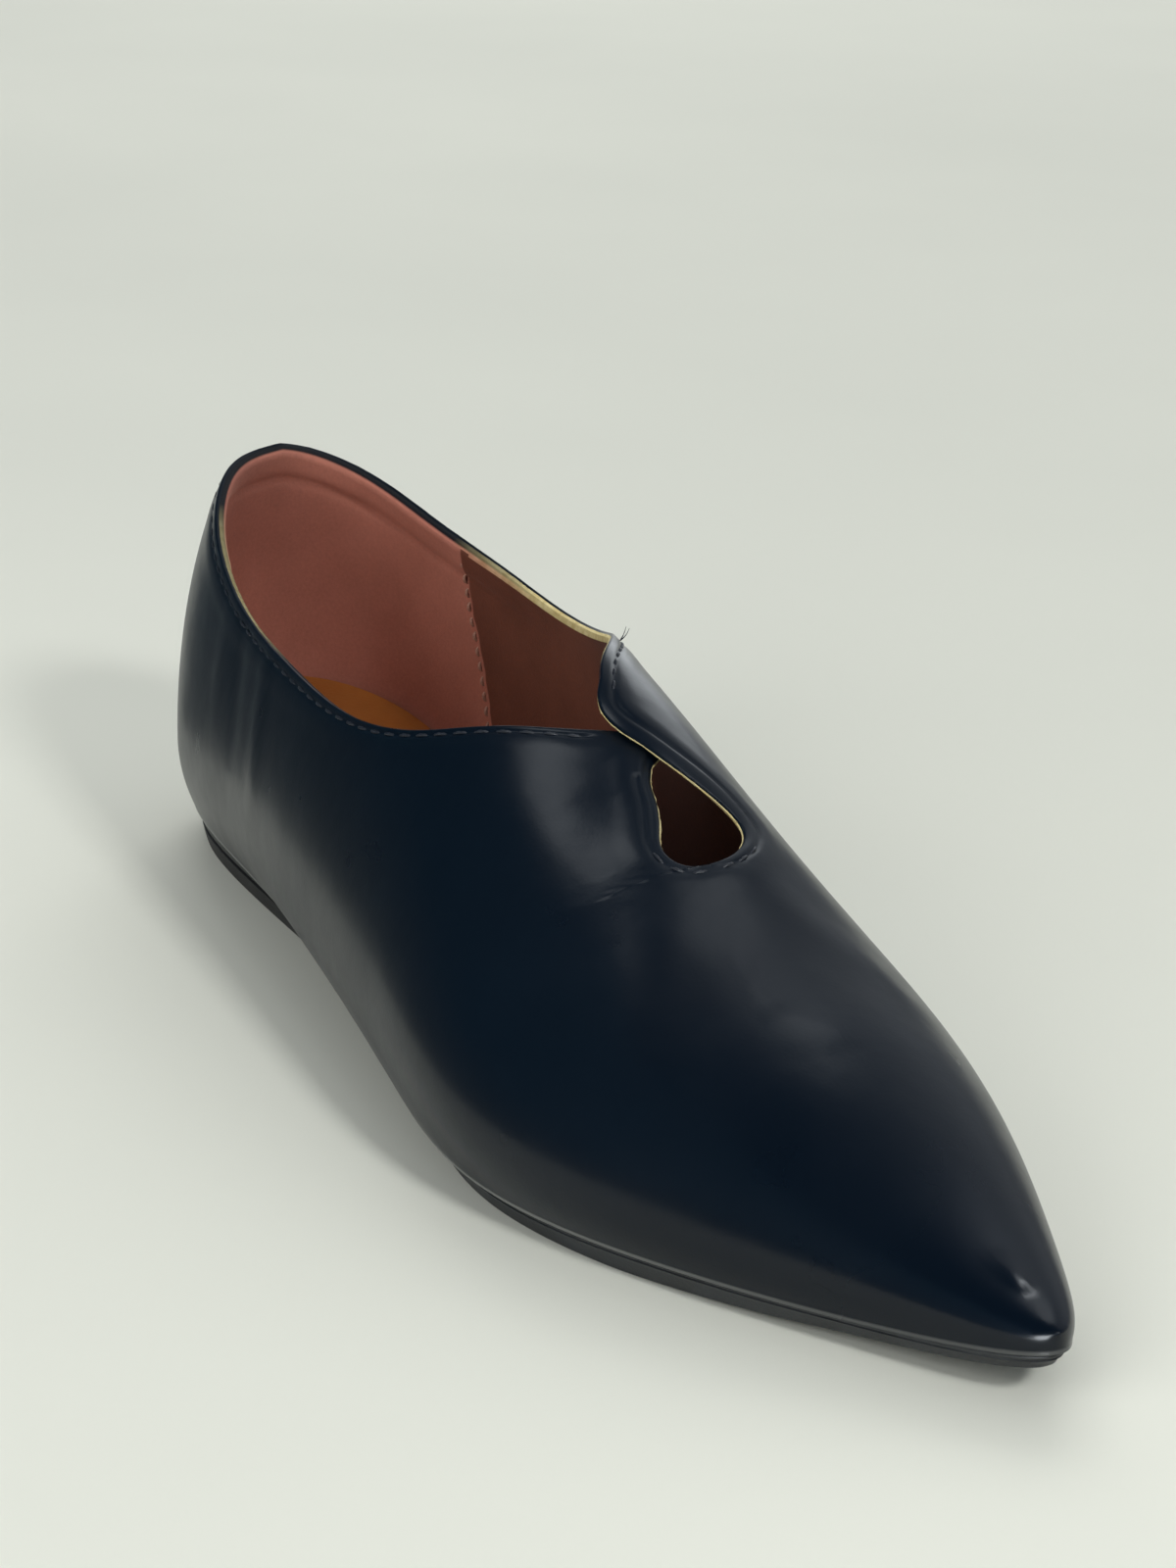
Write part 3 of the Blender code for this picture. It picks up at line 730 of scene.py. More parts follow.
def crease_height(angle, girth):
    """Height of the soft creases at each point of the surface."""
    place = np.stack([angle * LENGTH / 2, girth * GIRTH_LENGTH], axis=-1)
    t = np.linspace(0, 1, CREASE_POINTS)[:, None]
    height = np.zeros(angle.shape)
    for start, middle, end, width, rise in CREASES:
        bends = np.array((start, middle, end))
        knots = np.stack([angle_of(bends[:, 0]) * LENGTH / 2, bends[:, 1] * GIRTH_LENGTH], axis=-1)
        away = np.linalg.norm(place[..., None, :] - bent(*knots, t), axis=-1)
        taper = np.sin(math.pi * t[away.argmin(axis=-1), 0])
        height += rise * MM * taper * bell(away.min(axis=-1), width * MM)
    return height


def seam_place(z):
    """Distance from the back of the heel pocket's sloping front seam, at a height."""
    return np.interp(-np.asarray(z), (-SEAM_Z[0], -SEAM_Z[1]), SEAM_X)


def thread_line(lines, under):
    """Fine points of the topstitching on one half, and of the other half's beside the keyhole."""
    threads = []
    for angle, girth, half in lines:
        line = outer_face(angle, girth, half)
        seen = line if half == under else line[line[:, 0] > KEYHOLE_RIM * LENGTH]
        if len(seen) > 1:
            threads.append(dense(seen)[0])
    return np.concatenate(threads)


def edge_reader(columns, other):
    """Rule that gives girth and surface points of one half at angles and climbs, with their distance to
    the cut edge, or to the keyhole's other side, and the finish of the nearest edge."""
    count = columns["edge_count"]
    under = columns["under"]
    own_line, own_place = dense(outer_face(columns["top"][:count], columns["girth"][:count], under))
    rim = slice(None, other["edge_count"])
    facing = last_surface(other["top"][rim], other["girth"][rim])
    facing_line, _ = dense(facing[station_of(other["top"][rim]) > KEYHOLE_RIM])
    line = np.concatenate([own_line, facing_line])
    line_place = np.concatenate([own_place, np.full(len(facing_line), count - 1.0)])

    def read(angle, climb):
        girth = side_girth(climb, under)
        surface = outer_face(angle, girth, under)
        index, to_edge = nearest(surface, line)
        finish = {}
        for name in FINISH_COLUMNS[1:]:
            finish[name] = np.interp(line_place[index], np.arange(count), columns[name][:count])
        return girth, surface, to_edge, finish

    return read


def outer_rows(columns, read, threads):
    """Rows up the outer face with its relief: points, distance to the edge, rawness, and distance to
    the sole."""
    rise = 1 - (1 - np.linspace(0, 1, OUTER_ROWS - len(LIP_SHARES) + 1)) ** ROW_GRADING
    shares = np.concatenate([LIP_SHARES[:-1], LIP_SHARES[-1] + (1 - LIP_SHARES[-1]) * rise])[:, None]
    angle = columns["base"] + (columns["top"] - columns["base"]) * shares
    girth, surface, to_edge, finish = read(angle, columns["climb"] * shares)
    inset = finish["inset"]
    to_thread = nearest(surface, threads)[1]
    to_sole = np.linalg.norm(surface - surface[0], axis=-1)
    rolled = finish["roll"] * np.clip(1 - to_edge / inset, 0, 1) ** 2
    rounded = EDGE_ROUND - np.sqrt(EDGE_ROUND**2 - np.clip(EDGE_ROUND - to_edge, 0, None) ** 2)
    groove = GROOVE_DEPTH * bell(to_thread, GROOVE_WIDTH)
    puff = PUFF_HEIGHT * bell(to_edge - inset - PUFF_REACH, PUFF_WIDTH)
    second = WELT_DEPTH * finish["welt"] * bell(to_edge - WELT_PLACE * inset, WELT_WIDTH)
    lip = LIP_HEIGHT * bell(to_sole, LIP_WIDTH)
    depth = rolled + rounded + groove + second - puff - lip - crease_height(angle, girth)
    points = surface - last_normal(angle, girth) * depth[..., None]
    return points, to_edge, finish["raw"], to_sole


def inner_rows(columns, read):
    """Rows up the inner face with the lining's relief: points, distance to the edge, rawness, and
    distance to the heel pocket's seam."""
    keyhole = columns["base"][columns["edge_count"] - 1]
    shares = 1 - (1 - np.linspace(0, 1, INNER_ROWS)) ** ROW_GRADING
    angle = columns["base"] + (columns["top"] - columns["base"]) * shares[:, None]
    angle = hollow_angle(angle, keyhole)
    corner = inner_climb(hollow_angle(columns["base"], keyhole), columns["under"])
    climb = corner + (columns["climb"] - corner) * shares[:, None]
    girth, surface, to_edge, finish = read(angle, climb)
    skived = np.clip(1 - to_edge / CREAM_WIDTH, 0, 1)
    bevel = (WALL - finish["thick"]) * skived
    heel = 1 - ramp(station_of(angle), *RIM_FADE)
    padding = RIM_HEIGHT * np.exp(-((to_edge - RIM_WIDTH / 2) / (RIM_WIDTH / 2)) ** 4)
    shadow = RIM_HEIGHT * bell(to_edge - RIM_WIDTH - RIM_LINE, RIM_LINE)
    pocket = seam_place(surface[..., 2]) - surface[..., 0]
    step = POCKET_STEP * ramp(pocket, -POCKET_SLOPE / 2, POCKET_SLOPE / 2)
    depth = WALL - bevel + (padding - shadow) * heel + step * (1 - skived)
    points = surface - last_normal(angle, girth) * depth[..., None]
    return round_toe(points, angle, shares), to_edge, finish["raw"], pocket


def cut_rows(columns, outer, inner):
    """Rows across the cut edge between two lines of points, where the cream backing is ragged."""
    random = np.random.default_rng(SEED)
    normal = last_normal(columns["top"], columns["girth"])
    along = np.gradient(outer, axis=0)
    out = np.cross(normal, along) if columns["under"] else np.cross(along, normal)
    out = out / np.maximum(np.linalg.norm(out, axis=-1, keepdims=True), WELD)
    rows = []
    for number, share in enumerate(CUT_SHARES):
        ragged = columns["peek"] + CREAM_RAGGED * random.normal(size=len(outer)) * columns["raw"]
        ragged = ragged * (number >= LEATHER_STRIPS)
        rows.append(outer + (inner - outer) * share + out * ragged[:, None])
    blank = np.ones((len(rows), len(outer)))
    return np.stack(rows), blank * 0, blank * columns["raw"], blank


def half_grid(columns, other, lines):
    """Points round the wall of one half, row by row, with each point's distance to the cut edge, its
    rawness and its distance to a border: outside the sole, inside the pocket's seam."""
    read = edge_reader(columns, other)
    outer = outer_rows(columns, read, thread_line(lines, columns["under"]))
    inner = inner_rows(columns, read)
    cut = cut_rows(columns, outer[0][-1], inner[0][-1])
    margin = moved_in(outer[0][0], tuck(columns["base"], "margin"))
    floor = bottom_height(margin[:, 0])
    blank = np.ones((1, len(margin)))
    below = np.column_stack([margin, floor])[None], blank, blank * 0, blank
    above = np.column_stack([margin, floor + WALL])[None], blank, blank * 0, inner[3][:1]
    downwards = [values[::-1] for values in inner]
    return [np.concatenate(bands) for bands in zip(below, outer, cut, downwards, above)]


def half_faces(columns, grid):
    """Quads round the wall of one half and the material number of each: 0 leather, 1 edge, 2 lining."""
    to_edge = grid[1]
    row_count, column_count = to_edge.shape
    number = np.arange(to_edge.size).reshape(to_edge.shape)
    cut_start, cut_end = CUT_ROWS
    faces = []
    materials = []
    for row in range(row_count):
        after = (row + 1) % row_count
        end = columns["edge_count"] if cut_start <= row < cut_end else column_count
        quads = grid_quads(number[[row, after], :end])
        faces.append(quads if columns["under"] else quads[:, ::-1])
        if row < cut_start + LEATHER_STRIPS or row == row_count - 1:
            kind = np.zeros(end - 1, int)
        elif row < cut_end:
            kind = np.ones(end - 1, int)
        else:
            distance = (to_edge[row, :end - 1] + to_edge[after, :end - 1]) / 2
            kind = np.where(distance < CREAM_WIDTH, 1, 2)
        materials.append(kind)
    return np.concatenate(faces), np.concatenate(materials)


def shoe_shift():
    """From the last's own frame to the part's: the middle of its box is over the origin."""
    angles, girths = (np.linspace(0, end, count) for end, count in zip((math.pi, 2), EXTENT_GRID))
    grid = last_surface(angles[:, None], girths)
    middle = (grid.min(axis=(0, 1)) + grid.max(axis=(0, 1))) / 2
    return np.array((-middle[0], -middle[1], 0.0))


SHIFT = shoe_shift()


def add_object(name, data):
    item = bpy.data.objects.new(name, data)
    bpy.context.scene.collection.objects.link(item)
    return item


def add_piece(name, points, faces, materials, kinds=None, attributes=None):
    """Smooth mesh object from arrays in the last's frame, with a material number for each face."""
    mesh = bpy.data.meshes.new(name)
    mesh.from_pydata((points + SHIFT).tolist(), [], faces.tolist())
    for material in materials:
        mesh.materials.append(material)
    if kinds is not None:
        mesh.polygons.foreach_set("material_index", kinds)
    for key, values in (attributes or {}).items():
        layer = mesh.attributes.new(key, "FLOAT", "POINT")
        layer.data.foreach_set("value", values.astype(np.float32))
    mesh.shade_smooth()
    return add_object(name, mesh)


def weld(piece, boundary):
    """Merges the doubled points among the boundary ones and drops points without faces."""
    data = bmesh.new()
    data.from_mesh(piece.data)
    data.verts.ensure_lookup_table()
    bmesh.ops.remove_doubles(data, verts=[data.verts[k] for k in boundary], dist=WELD)
    loose = [vert for vert in data.verts if not vert.link_faces]
    bmesh.ops.delete(data, geom=loose, context="VERTS")
    data.to_mesh(piece.data)
    data.free()
    piece.data.update()


def make_upper(halves, lines, materials):
    """Leather, raw edge and lining as one closed wall, both halves welded at the ridge, back and toe."""
    right, left = halves
    parts = []
    kinds = []
    values = []
    boundary = []
    start = 0
    for columns, other in ((right, left), (left, right)):
        grid = half_grid(columns, other, lines)
        faces, face_kinds = half_faces(columns, grid)
        parts.append((grid[0].reshape(-1, 3), faces))
        kinds.append(face_kinds)
        values.append([value.ravel() for value in grid[1:]])
        number = np.arange(grid[1].size).reshape(grid[1].shape) + start
        start += number.size
        cut_start, cut_end = CUT_ROWS
        last = columns["edge_count"] - 1
        boundary.extend(number[:, [0, -1]].ravel().tolist())
        boundary.extend(number[[cut_start, cut_end], last:-1].ravel().tolist())
        boundary.extend(number[cut_start + 1:cut_end, last].tolist())
    marks = dict(zip(("to_edge", "raw", "border"), np.concatenate(values, axis=1)))
    upper = add_piece("upper_shell", *join(parts), materials, np.concatenate(kinds), marks)
    weld(upper, sorted(set(boundary)))
    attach(upper, "root")
    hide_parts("upper")


def tube(rings):
    """Points and quads of a tube through rings of points."""
    count, sides = rings.shape[:2]
    number = np.arange(count * sides).reshape(count, sides)
    return rings.reshape(-1, 3), grid_quads(np.column_stack([number, number[:, 0]]))


def stitches(line, normals, pitch, length, radius):
    """Stitches along a line, as tubes: twisted two-ply bars whose ends dip into the material."""
    run = run_of(line)
    count = int(run[-1] / pitch)
    along = np.linspace(-0.5, 0.5, STITCH_RINGS)
    turn = np.linspace(0, 2 * math.pi, STITCH_SIDES, endpoint=False)
    height, power, sink = STITCH_ARCH
    bulge = np.cos(math.pi * along)
    rise = radius * (height * bulge**power - sink)
    size = radius * (STITCH_SWELL[0] + STITCH_SWELL[1] * bulge)
    ply = 1 + PLY_DEPTH * np.cos(2 * turn + PLY_TWIST * 2 * math.pi * along[:, None])
    reach = (size[:, None] * ply)[..., None]
    tubes = []
    for number in range(count):
        place = run[-1] / 2 + (number - (count - 1) / 2) * pitch + along * length
        centre = read_line(place, run, line)
        normal = read_line(place, run, normals)
        side = np.cross(unit(np.gradient(centre, axis=0)), normal)
        ring = centre[:, None] + normal[:, None] * rise[:, None, None]
        ring = ring + reach * np.cos(turn)[None, :, None] * side[:, None]
        ring = ring + reach * np.sin(turn)[None, :, None] * normal[:, None]
        tubes.append(tube(ring))
    return tubes


def join(parts):
    """One list of points and faces from several."""
    points = []
    faces = []
    start = 0
    for part_points, part_faces in parts:
        points.append(part_points)
        faces.append(part_faces + start)
        start += len(part_points)
    return np.concatenate(points), np.concatenate(faces)


def hair(start, bend, end):
    """Thin curved strand that tapers to its end, as a tube."""
    t = np.linspace(0, 1, STITCH_RINGS)[:, None]
    line = bent(start, bend, end, t)
    tangent = unit(np.gradient(line, axis=0))
    side = unit(np.cross(tangent, (1.0, 0.0, 0.0)))
    lift = np.cross(side, tangent)
    turn = np.linspace(0, 2 * math.pi, STITCH_SIDES, endpoint=False)[None, :, None]
    reach = TAIL_RADIUS * (1 - TAIL_TAPER * t)[..., None]
    return tube(line[:, None] + reach * (np.cos(turn) * side[:, None] + np.sin(turn) * lift[:, None]))


def make_topstitching(lines, material):
    """Stitches in their groove, which are sunk out of sight along the over flap, and a loose end."""
    parts = []
    for angle, girth, under in lines:
        station = station_of(angle)
        start = FLAP_REACH[0] if under else SUNK_STITCHES[0]
        for shown in (station < start, station > SUNK_STITCHES[1]):
            if shown.sum() > 1:
                normals = last_normal(angle[shown], girth[shown])
                line = outer_face(angle[shown], girth[shown], under) - normals * GROOVE_DEPTH
                parts.extend(stitches(line, normals, STITCH_PITCH, STITCH_LENGTH, STITCH_RADIUS))
    station, girth = TAIL_PLACE
    root = last_surface(angle_of(station), girth)
    for bend, end in TAIL_HAIRS:
        parts.append(hair(root, root + np.array(bend) * MM, root + np.array(end) * MM))
    piece = add_piece("topstitching", *join(parts), [material])
    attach(piece, "root")


def make_lining_seam(material):
    """Stitches along the heel pocket's front, just behind its seam."""
    parts = []
    for under in (True, False):
        girth = side_girth(SEAM_CLIMB, under)
        station = np.full(len(girth), SEAM_X[0] / LENGTH)
        for _ in range(SETTLE_STEPS):
            z = last_surface(angle_of(station), girth)[:, 2]
            station = seam_place(z) / LENGTH
        angle = angle_of(station - SEAM_BACK / LENGTH)
        normals = last_normal(angle, girth)
        line = last_surface(angle, girth) - normals * (WALL + POCKET_STEP)
        parts.extend(stitches(line, -normals, SEAM_PITCH, SEAM_LENGTH, SEAM_RADIUS))
    piece = add_piece("lining_seam", *join(parts), [material])
    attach(piece, "root")


def shader_tree(name):
    """A new material, its node tree and its surface shader."""
    material = bpy.data.materials.new(name)
    material.use_nodes = True
    return material, material.node_tree, material.node_tree.nodes["Principled BSDF"]


def feed(tree, socket, value):
    """Sets a socket to a value, or links it to another socket."""
    if isinstance(value, bpy.types.NodeSocket):
        tree.links.new(value, socket)
    else:
        socket.default_value = value


def add_node(tree, kind, inputs=None, **settings):
    """A node with its settings and inputs."""
    node = tree.nodes.new(kind)
    for key, value in settings.items():
        setattr(node, key, value)
    for key, value in (inputs or {}).items():
        feed(tree, node.inputs[key], value)
    return node


def object_place(tree):
    return add_node(tree, "ShaderNodeTexCoord").outputs["Object"]


def object_axis(tree, axis):
    return add_node(tree, "ShaderNodeSeparateXYZ", {"Vector": object_place(tree)}).outputs[axis]


def noise(tree, scale, detail=3.0, roughness=0.55):
    values = {"Vector": object_place(tree), "Scale": scale, "Detail": detail, "Roughness": roughness}
    return add_node(tree, "ShaderNodeTexNoise", values).outputs["Fac"]


def pores(tree, scale):
    values = {"Vector": object_place(tree), "Scale": scale}
    return add_node(tree, "ShaderNodeTexVoronoi", values).outputs["Distance"]


def span(tree, value, low, high, to_low=0.0, to_high=1.0):
    values = {"Value": value, "From Min": low, "From Max": high, "To Min": to_low, "To Max": to_high}
    return add_node(tree, "ShaderNodeMapRange", values).outputs["Result"]


def mixed(tree, share, first, second):
    mix = add_node(tree, "ShaderNodeMix", {0: share, 6: first, 7: second}, data_type="RGBA")
    return mix.outputs[2]


def toned(tree, value, tones, reach=NOISE_SPAN):
    """Colour between two tones, as a noise goes through its reach."""
    return mixed(tree, span(tree, value, *reach), *tones)


def attribute(tree, name):
    return add_node(tree, "ShaderNodeAttribute", attribute_name=name).outputs["Fac"]


def bumped(tree, height, strength, distance, before=None):
    inputs = {"Height": height, "Strength": strength, "Distance": distance}
    if before is not None:
        inputs["Normal"] = before
    return add_node(tree, "ShaderNodeBump", inputs).outputs["Normal"]


def set_inputs(shader, tree, **inputs):
    """Feeds inputs of a shader, named in lower case with underscores."""
    for socket in shader.inputs:
        key = socket.name.lower().replace(" ", "_")
        if key in inputs:
            feed(tree, socket, inputs.pop(key))


def leather():
    material, tree, shader = shader_tree("navy_black_leather")
    colour = toned(tree, noise(tree, scale=22.0, detail=2.0), LEATHER_TONES, LEATHER_SPAN)
    swell = noise(tree, scale=95.0, detail=2.0)
    normal = bumped(tree, swell, strength=0.10, distance=1.2 * MM)
    normal = bumped(tree, pores(tree, scale=1700.0), strength=0.05, distance=0.12 * MM, before=normal)
    along = object_axis(tree, "X")
    gloss = span(tree, noise(tree, scale=60.0, detail=4.0), *NOISE_SPAN, *LEATHER_GLOSS)
    gloss = span(tree, along, *TOE_POLISH, gloss, TOE_GLOSS)
    # Painted highlight: a light colour along the bottom edge at the sole, weaker towards the toe
    highlight_strength = span(tree, along, *EDGE_HIGHLIGHT_FADE, *EDGE_HIGHLIGHT_SHARE)
    edge_highlight = span(tree, attribute(tree, "border"), *EDGE_HIGHLIGHT_REACH, highlight_strength, 0.0)
    colour = mixed(tree, edge_highlight, colour, EDGE_HIGHLIGHT_COLOUR)
    set_inputs(
        shader, tree, base_color=colour, roughness=gloss, normal=normal,
        specular_ior_level=0.28, coat_weight=0.06, coat_roughness=0.14, coat_ior=1.45,
    )
    return material


def raw_edge():
    material, tree, shader = shader_tree("raw_edge")
    fibre = noise(tree, scale=2600.0, detail=4.0, roughness=0.7)
    patch = noise(tree, scale=420.0)
    cream = toned(tree, patch, CREAM_TONES, PATCH_SPAN)
    edge = span(tree, attribute(tree, "to_edge"), *TURNED_EDGE)
    plain = mixed(tree, edge, toned(tree, fibre, TURNED_TONES), toned(tree, patch, SUEDE_TONES))
    colour = mixed(tree, span(tree, attribute(tree, "raw"), *RAW_SHOWN), plain, cream)
    normal = bumped(tree, fibre, strength=0.35, distance=0.2 * MM)
    set_inputs(shader, tree, base_color=colour, roughness=0.82, normal=normal)
    return material


def lining():
    material, tree, shader = shader_tree("lining")
    nap = noise(tree, scale=1500.0, detail=5.0, roughness=0.7)
    patch = noise(tree, scale=70.0)
    # Painted shade: the lining darkens to LINING_SHADE towards the toe, deep inside the shoe
    dark = span(tree, object_axis(tree, "X"), *LINING_SHADE_REACH)
    smooth = mixed(tree, dark, toned(tree, patch, LINING_TONES), LINING_SHADE)
    pocket = span(tree, attribute(tree, "border"), *POCKET_EDGE)
    colour = mixed(tree, pocket, smooth, toned(tree, patch, SUEDE_TONES))
    colour = mixed(tree, span(tree, nap, *NAP_SPAN, *NAP_SHARE), colour, NAP_SHADE)
    normal = bumped(tree, nap, strength=0.30, distance=0.25 * MM)
    set_inputs(
        shader, tree, base_color=colour, roughness=0.78, normal=normal,
        sheen_weight=0.25, sheen_roughness=0.45, sheen_tint=NAP_SHEEN,
    )
    return material


def tan_insole():
    material, tree, shader = shader_tree("tan_insole")
    colour = toned(tree, noise(tree, scale=45.0, detail=4.0), INSOLE_TONES)
    normal = bumped(tree, pores(tree, scale=1300.0), strength=0.18, distance=0.15 * MM)
    gloss = span(tree, noise(tree, scale=80.0), *NOISE_SPAN, *INSOLE_GLOSS)
    set_inputs(shader, tree, base_color=colour, roughness=gloss, normal=normal)
    return material


def rubber(name, tone, roughness):
    material, tree, shader = shader_tree(name)
    stipple = noise(tree, scale=1900.0, detail=4.0, roughness=0.65)
    patch = noise(tree, scale=130.0)
    light = [c * RUBBER_LIFT for c in tone]
    colour = toned(tree, patch, ((*tone, 1), (*light, 1)), PATCH_SPAN)
    normal = bumped(tree, stipple, strength=0.22, distance=0.2 * MM)
    gloss = span(tree, patch, *NOISE_SPAN, roughness - RUBBER_SPREAD, roughness + RUBBER_SPREAD)
    set_inputs(shader, tree, base_color=colour, roughness=gloss, normal=normal)
    return material


def thread(name, tones, roughness):
    material, tree, shader = shader_tree(name)
    strand = noise(tree, scale=3200.0, detail=2.0)
    normal = bumped(tree, strand, strength=0.4, distance=0.1 * MM)
    set_inputs(shader, tree, base_color=toned(tree, strand, tones), roughness=roughness, normal=normal)
    return material


def sole_top(x):
    return bottom_height(x) - GAP


def sole_bottom(x):
    """Underside of the outsole: level with the floor under the forefoot, raised for heel and toe."""
    thickness = tuck(angle_of(np.asarray(x) / LENGTH), "thickness")
    return np.maximum(sole_top(x) - thickness, 0.0)


def edge_rings(angles, inset, profile, low, high):
    """Rings along the feather edge, at a profile's insets and shares of the height from low to high."""
    rings = []
    for step, share, rise in profile:
        ring = []
        for girth in (0.0, 2.0):
            line = moved_in(last_surface(angles, girth), inset + step * MM)
            bottom, top = low(line[:, 0]), high(line[:, 0])
            ring.append(np.column_stack([line, bottom + (top - bottom) * share + rise * MM]))
        rings.append(ring)
    return rings


def slab(name, rings, material):
    """Closed piece through rings of a right and a left line of points, lowest first, level across."""
    parts = []

    def sheet(strips, flip):
        grid = np.stack(strips)
        rows, columns = grid.shape[:2]
        quads = grid_quads(np.arange(rows * columns).reshape(rows, columns))
        parts.append((grid.reshape(-1, 3), quads[:, ::-1] if flip else quads))

    sheet([right for right, _ in rings], False)
    sheet([left for _, left in rings], True)
    shares = np.linspace(0, 1, CAP_STRIPS + 1)[:, None]
    for (right, left), flip in ((rings[0], True), (rings[-1], False)):
        sheet([right + (left - right) * share for share in shares], flip)
    sheet([right[-1] + (left[-1] - right[-1]) * shares for right, left in rings], False)
    points, faces = join(parts)
    piece = add_piece(name, points, faces, [material])
    weld(piece, range(len(points)))
    clean(piece)
    piece.data.set_sharp_from_angle(angle=SHARP_ANGLE)
    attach(piece, "root")
    return piece


def clean(piece):
    """Drops faces that have shrunk to nothing and turns the rest outwards."""
    data = bmesh.new()
    data.from_mesh(piece.data)
    bmesh.ops.dissolve_degenerate(data, edges=data.edges, dist=WELD / 3)
    bmesh.ops.recalc_face_normals(data, faces=data.faces)
    data.to_mesh(piece.data)
    data.free()


def make_outsole(material):
    """Thin sole whose side has a fine groove under a rounded top lip."""
    angles = np.linspace(0, math.pi, SOLE_COLUMNS)
    rings = edge_rings(angles, tuck(angles, "sole"), SOLE_PROFILE, sole_bottom, sole_top)
    piece = slab("outsole_edge", rings, material)
    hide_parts("outsole")


def make_heel(material):
    """Low heel block, set in a little under the sole."""
    angles = np.linspace(0, angle_of(HEEL_BREAST), HEEL_COLUMNS)
    inset = tuck(angles, "sole") + HEEL_INSET
    rings = edge_rings(angles, inset, HEEL_PROFILE, np.zeros_like, lambda x: sole_bottom(x) - GAP)
    piece = slab("heel_lift", rings, material)
    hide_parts("heel")


def make_insole(material):
    """Insole along the inner wall, with its soft pad under the heel."""
    angles = np.linspace(0, angle_of(TOE_ROUNDING[1]), INSOLE_COLUMNS)
    rings = []
    for step, share in INSOLE_PROFILE:
        ring = []
        for under in (True, False):
            girth = side_girth(inner_climb(angles, under, share), under)
            face = inner_face(angles, girth, under)
            face = round_toe(face[None], angles[None], np.zeros(1))[0]
            line = moved_in(face, np.full(len(angles), INSOLE_CLEARANCE + step * MM))
            depth = share * insole_depth(line[:, 0])
            ring.append(np.column_stack([line, bottom_height(line[:, 0]) + WALL + GAP + depth]))
        rings.append(ring)
    piece = slab("insole_sock", rings, material)
    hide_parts("insole")


def make_camera():
    """Camera at the photograph's angle to the shoe."""
    a, e, roll = CAMERA_AZIMUTH, CAMERA_ELEVATION, CAMERA_ROLL
    back = Vector((math.sin(a) * math.cos(e), -math.cos(a) * math.cos(e), math.sin(e)))
    right = Vector((math.cos(a), math.sin(a), 0.0))
    up = back.cross(right)
    turned_right = right * math.cos(roll) + up * math.sin(roll)
    turned_up = up * math.cos(roll) - right * math.sin(roll)
    data = bpy.data.cameras.new("camera")
    data.sensor_width = SENSOR
    data.lens = FOCAL_PIXELS * SENSOR / PHOTO_HEIGHT
    camera = add_object("camera", data)
    place = Matrix((turned_right, turned_up, back)).transposed().to_4x4()
    place.translation = Vector(CAMERA_TARGET) + Vector(SHIFT) + back * CAMERA_DISTANCE
    camera.matrix_world = place
    bpy.context.scene.camera = camera
    return back, right


def add_light(name, place, size, power, in_gloss):
    """Rectangular light aimed at the shoe, for its gloss or else for all the rest."""
    data = bpy.data.lights.new(name, "AREA")
    data.shape = "RECTANGLE"
    data.size, data.size_y = size
    data.energy = power
    data.color = GLOSS_COLOUR if in_gloss else LIGHT_COLOUR
    light = add_object(name, data)
    light.location = place
    light.rotation_euler = (Vector(LIGHT_TARGET) - place).to_track_quat("-Z", "Y").to_euler()
    light.visible_glossy = in_gloss
    light.visible_diffuse = not in_gloss
    light.visible_camera = False


def add_sheet(name, corners, material):
    """Flat four-cornered stage piece."""
    mesh = bpy.data.meshes.new(name)
    mesh.from_pydata(corners, [], [(0, 1, 2, 3)])
    mesh.materials.append(material)
    sheet = add_object(name, mesh)
    return sheet


def pale_floor():
    material, tree, shader = shader_tree("pale_floor")
    colour = toned(tree, noise(tree, scale=3.0), FLOOR_TONES)
    set_inputs(shader, tree, base_color=colour, roughness=0.85, specular_ior_level=0.0)
    return material


def dark_cloth():
    material, tree, shader = shader_tree("dark_cloth")
    weave = mixed(tree, noise(tree, scale=400.0, detail=2.0), *FLAG_TONES)
    colour = mixed(tree, span(tree, object_axis(tree, "Z"), *FLAG_GRADE), FLAG_FOOT, weave)
    set_inputs(shader, tree, base_color=colour, roughness=0.9)
    return material


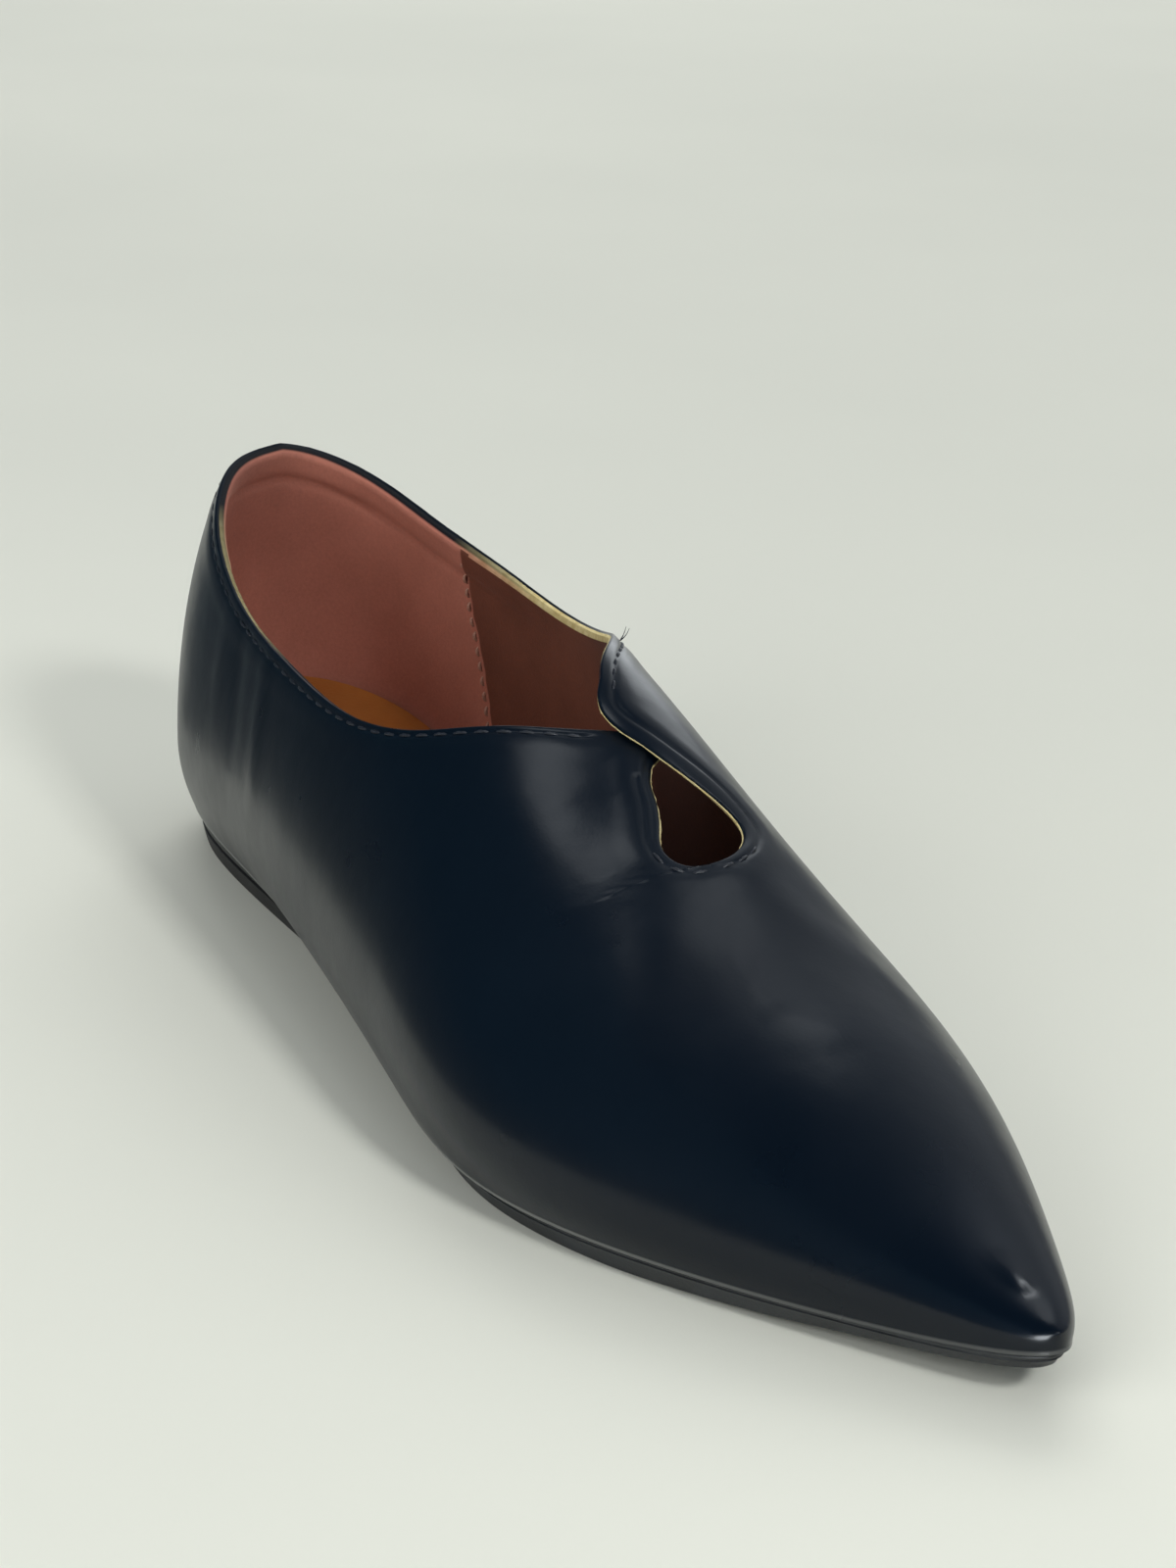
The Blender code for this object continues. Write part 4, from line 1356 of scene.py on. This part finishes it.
def make_world(bright_side):
    """Dim surroundings that grow lighter towards one side."""
    world = bpy.data.worlds.new("world")
    world.use_nodes = True
    tree = world.node_tree
    direction = add_node(tree, "ShaderNodeTexCoord").outputs["Generated"]
    towards = {0: direction, 1: bright_side}
    share = add_node(tree, "ShaderNodeVectorMath", towards, operation="DOT_PRODUCT").outputs["Value"]
    colour = mixed(tree, span(tree, share, *WORLD_SPAN), WORLD_DIM, WORLD_LIGHT)
    tree.links.new(colour, tree.nodes["Background"].inputs["Color"])
    bpy.context.scene.world = world


def make_stage(away, right):
    """Pale floor, soft lights, and a dark flag on the left that is seen in the leather's gloss alone."""
    up = Vector((0, 0, 1))
    half = FLOOR_HALF
    floor_corners = [(-half, -half, 0), (half, -half, 0), (half, half, 0), (-half, half, 0)]
    add_sheet("floor", floor_corners, pale_floor())
    near, far, top = FLAG_REACH
    low_line = [right * side + away * distance for side, distance in zip(FLAG_PLACE, (near, far))]
    flag_corners = [low_line[0], low_line[1], low_line[1] + up * top, low_line[0] + up * top]
    flag = add_sheet("flag", flag_corners, dark_cloth())
    flag.visible_camera = False
    flag.visible_diffuse = False
    flag.visible_shadow = False
    make_world(right * WORLD_SIDE[0] + away * WORLD_SIDE[1])
    for lights, in_gloss in ((SOFT_LIGHTS, False), (GLOSS_LIGHTS, True)):
        for name, (aside, back, height), size, power in lights:
            add_light(name, right * aside + away * back + up * height, size, power, in_gloss)
    bpy.context.scene.view_settings.view_transform = "Standard"


def main():
    halves = half_columns()
    lines = stitch_lines(halves)
    make_upper(halves, lines, [leather(), raw_edge(), lining()])
    make_topstitching(lines, thread("dark_thread", DARK_THREAD, roughness=0.45))
    make_lining_seam(thread("pale_thread", PALE_THREAD, roughness=0.7))
    make_insole(tan_insole())
    make_outsole(rubber("sole_rubber", SOLE_TONE, roughness=0.50))
    make_heel(rubber("heel_rubber", HEEL_TONE, roughness=0.60))
    back, right = make_camera()
    away = Vector((-back.x, -back.y, 0.0)).normalized()
    make_stage(away, right)


main()
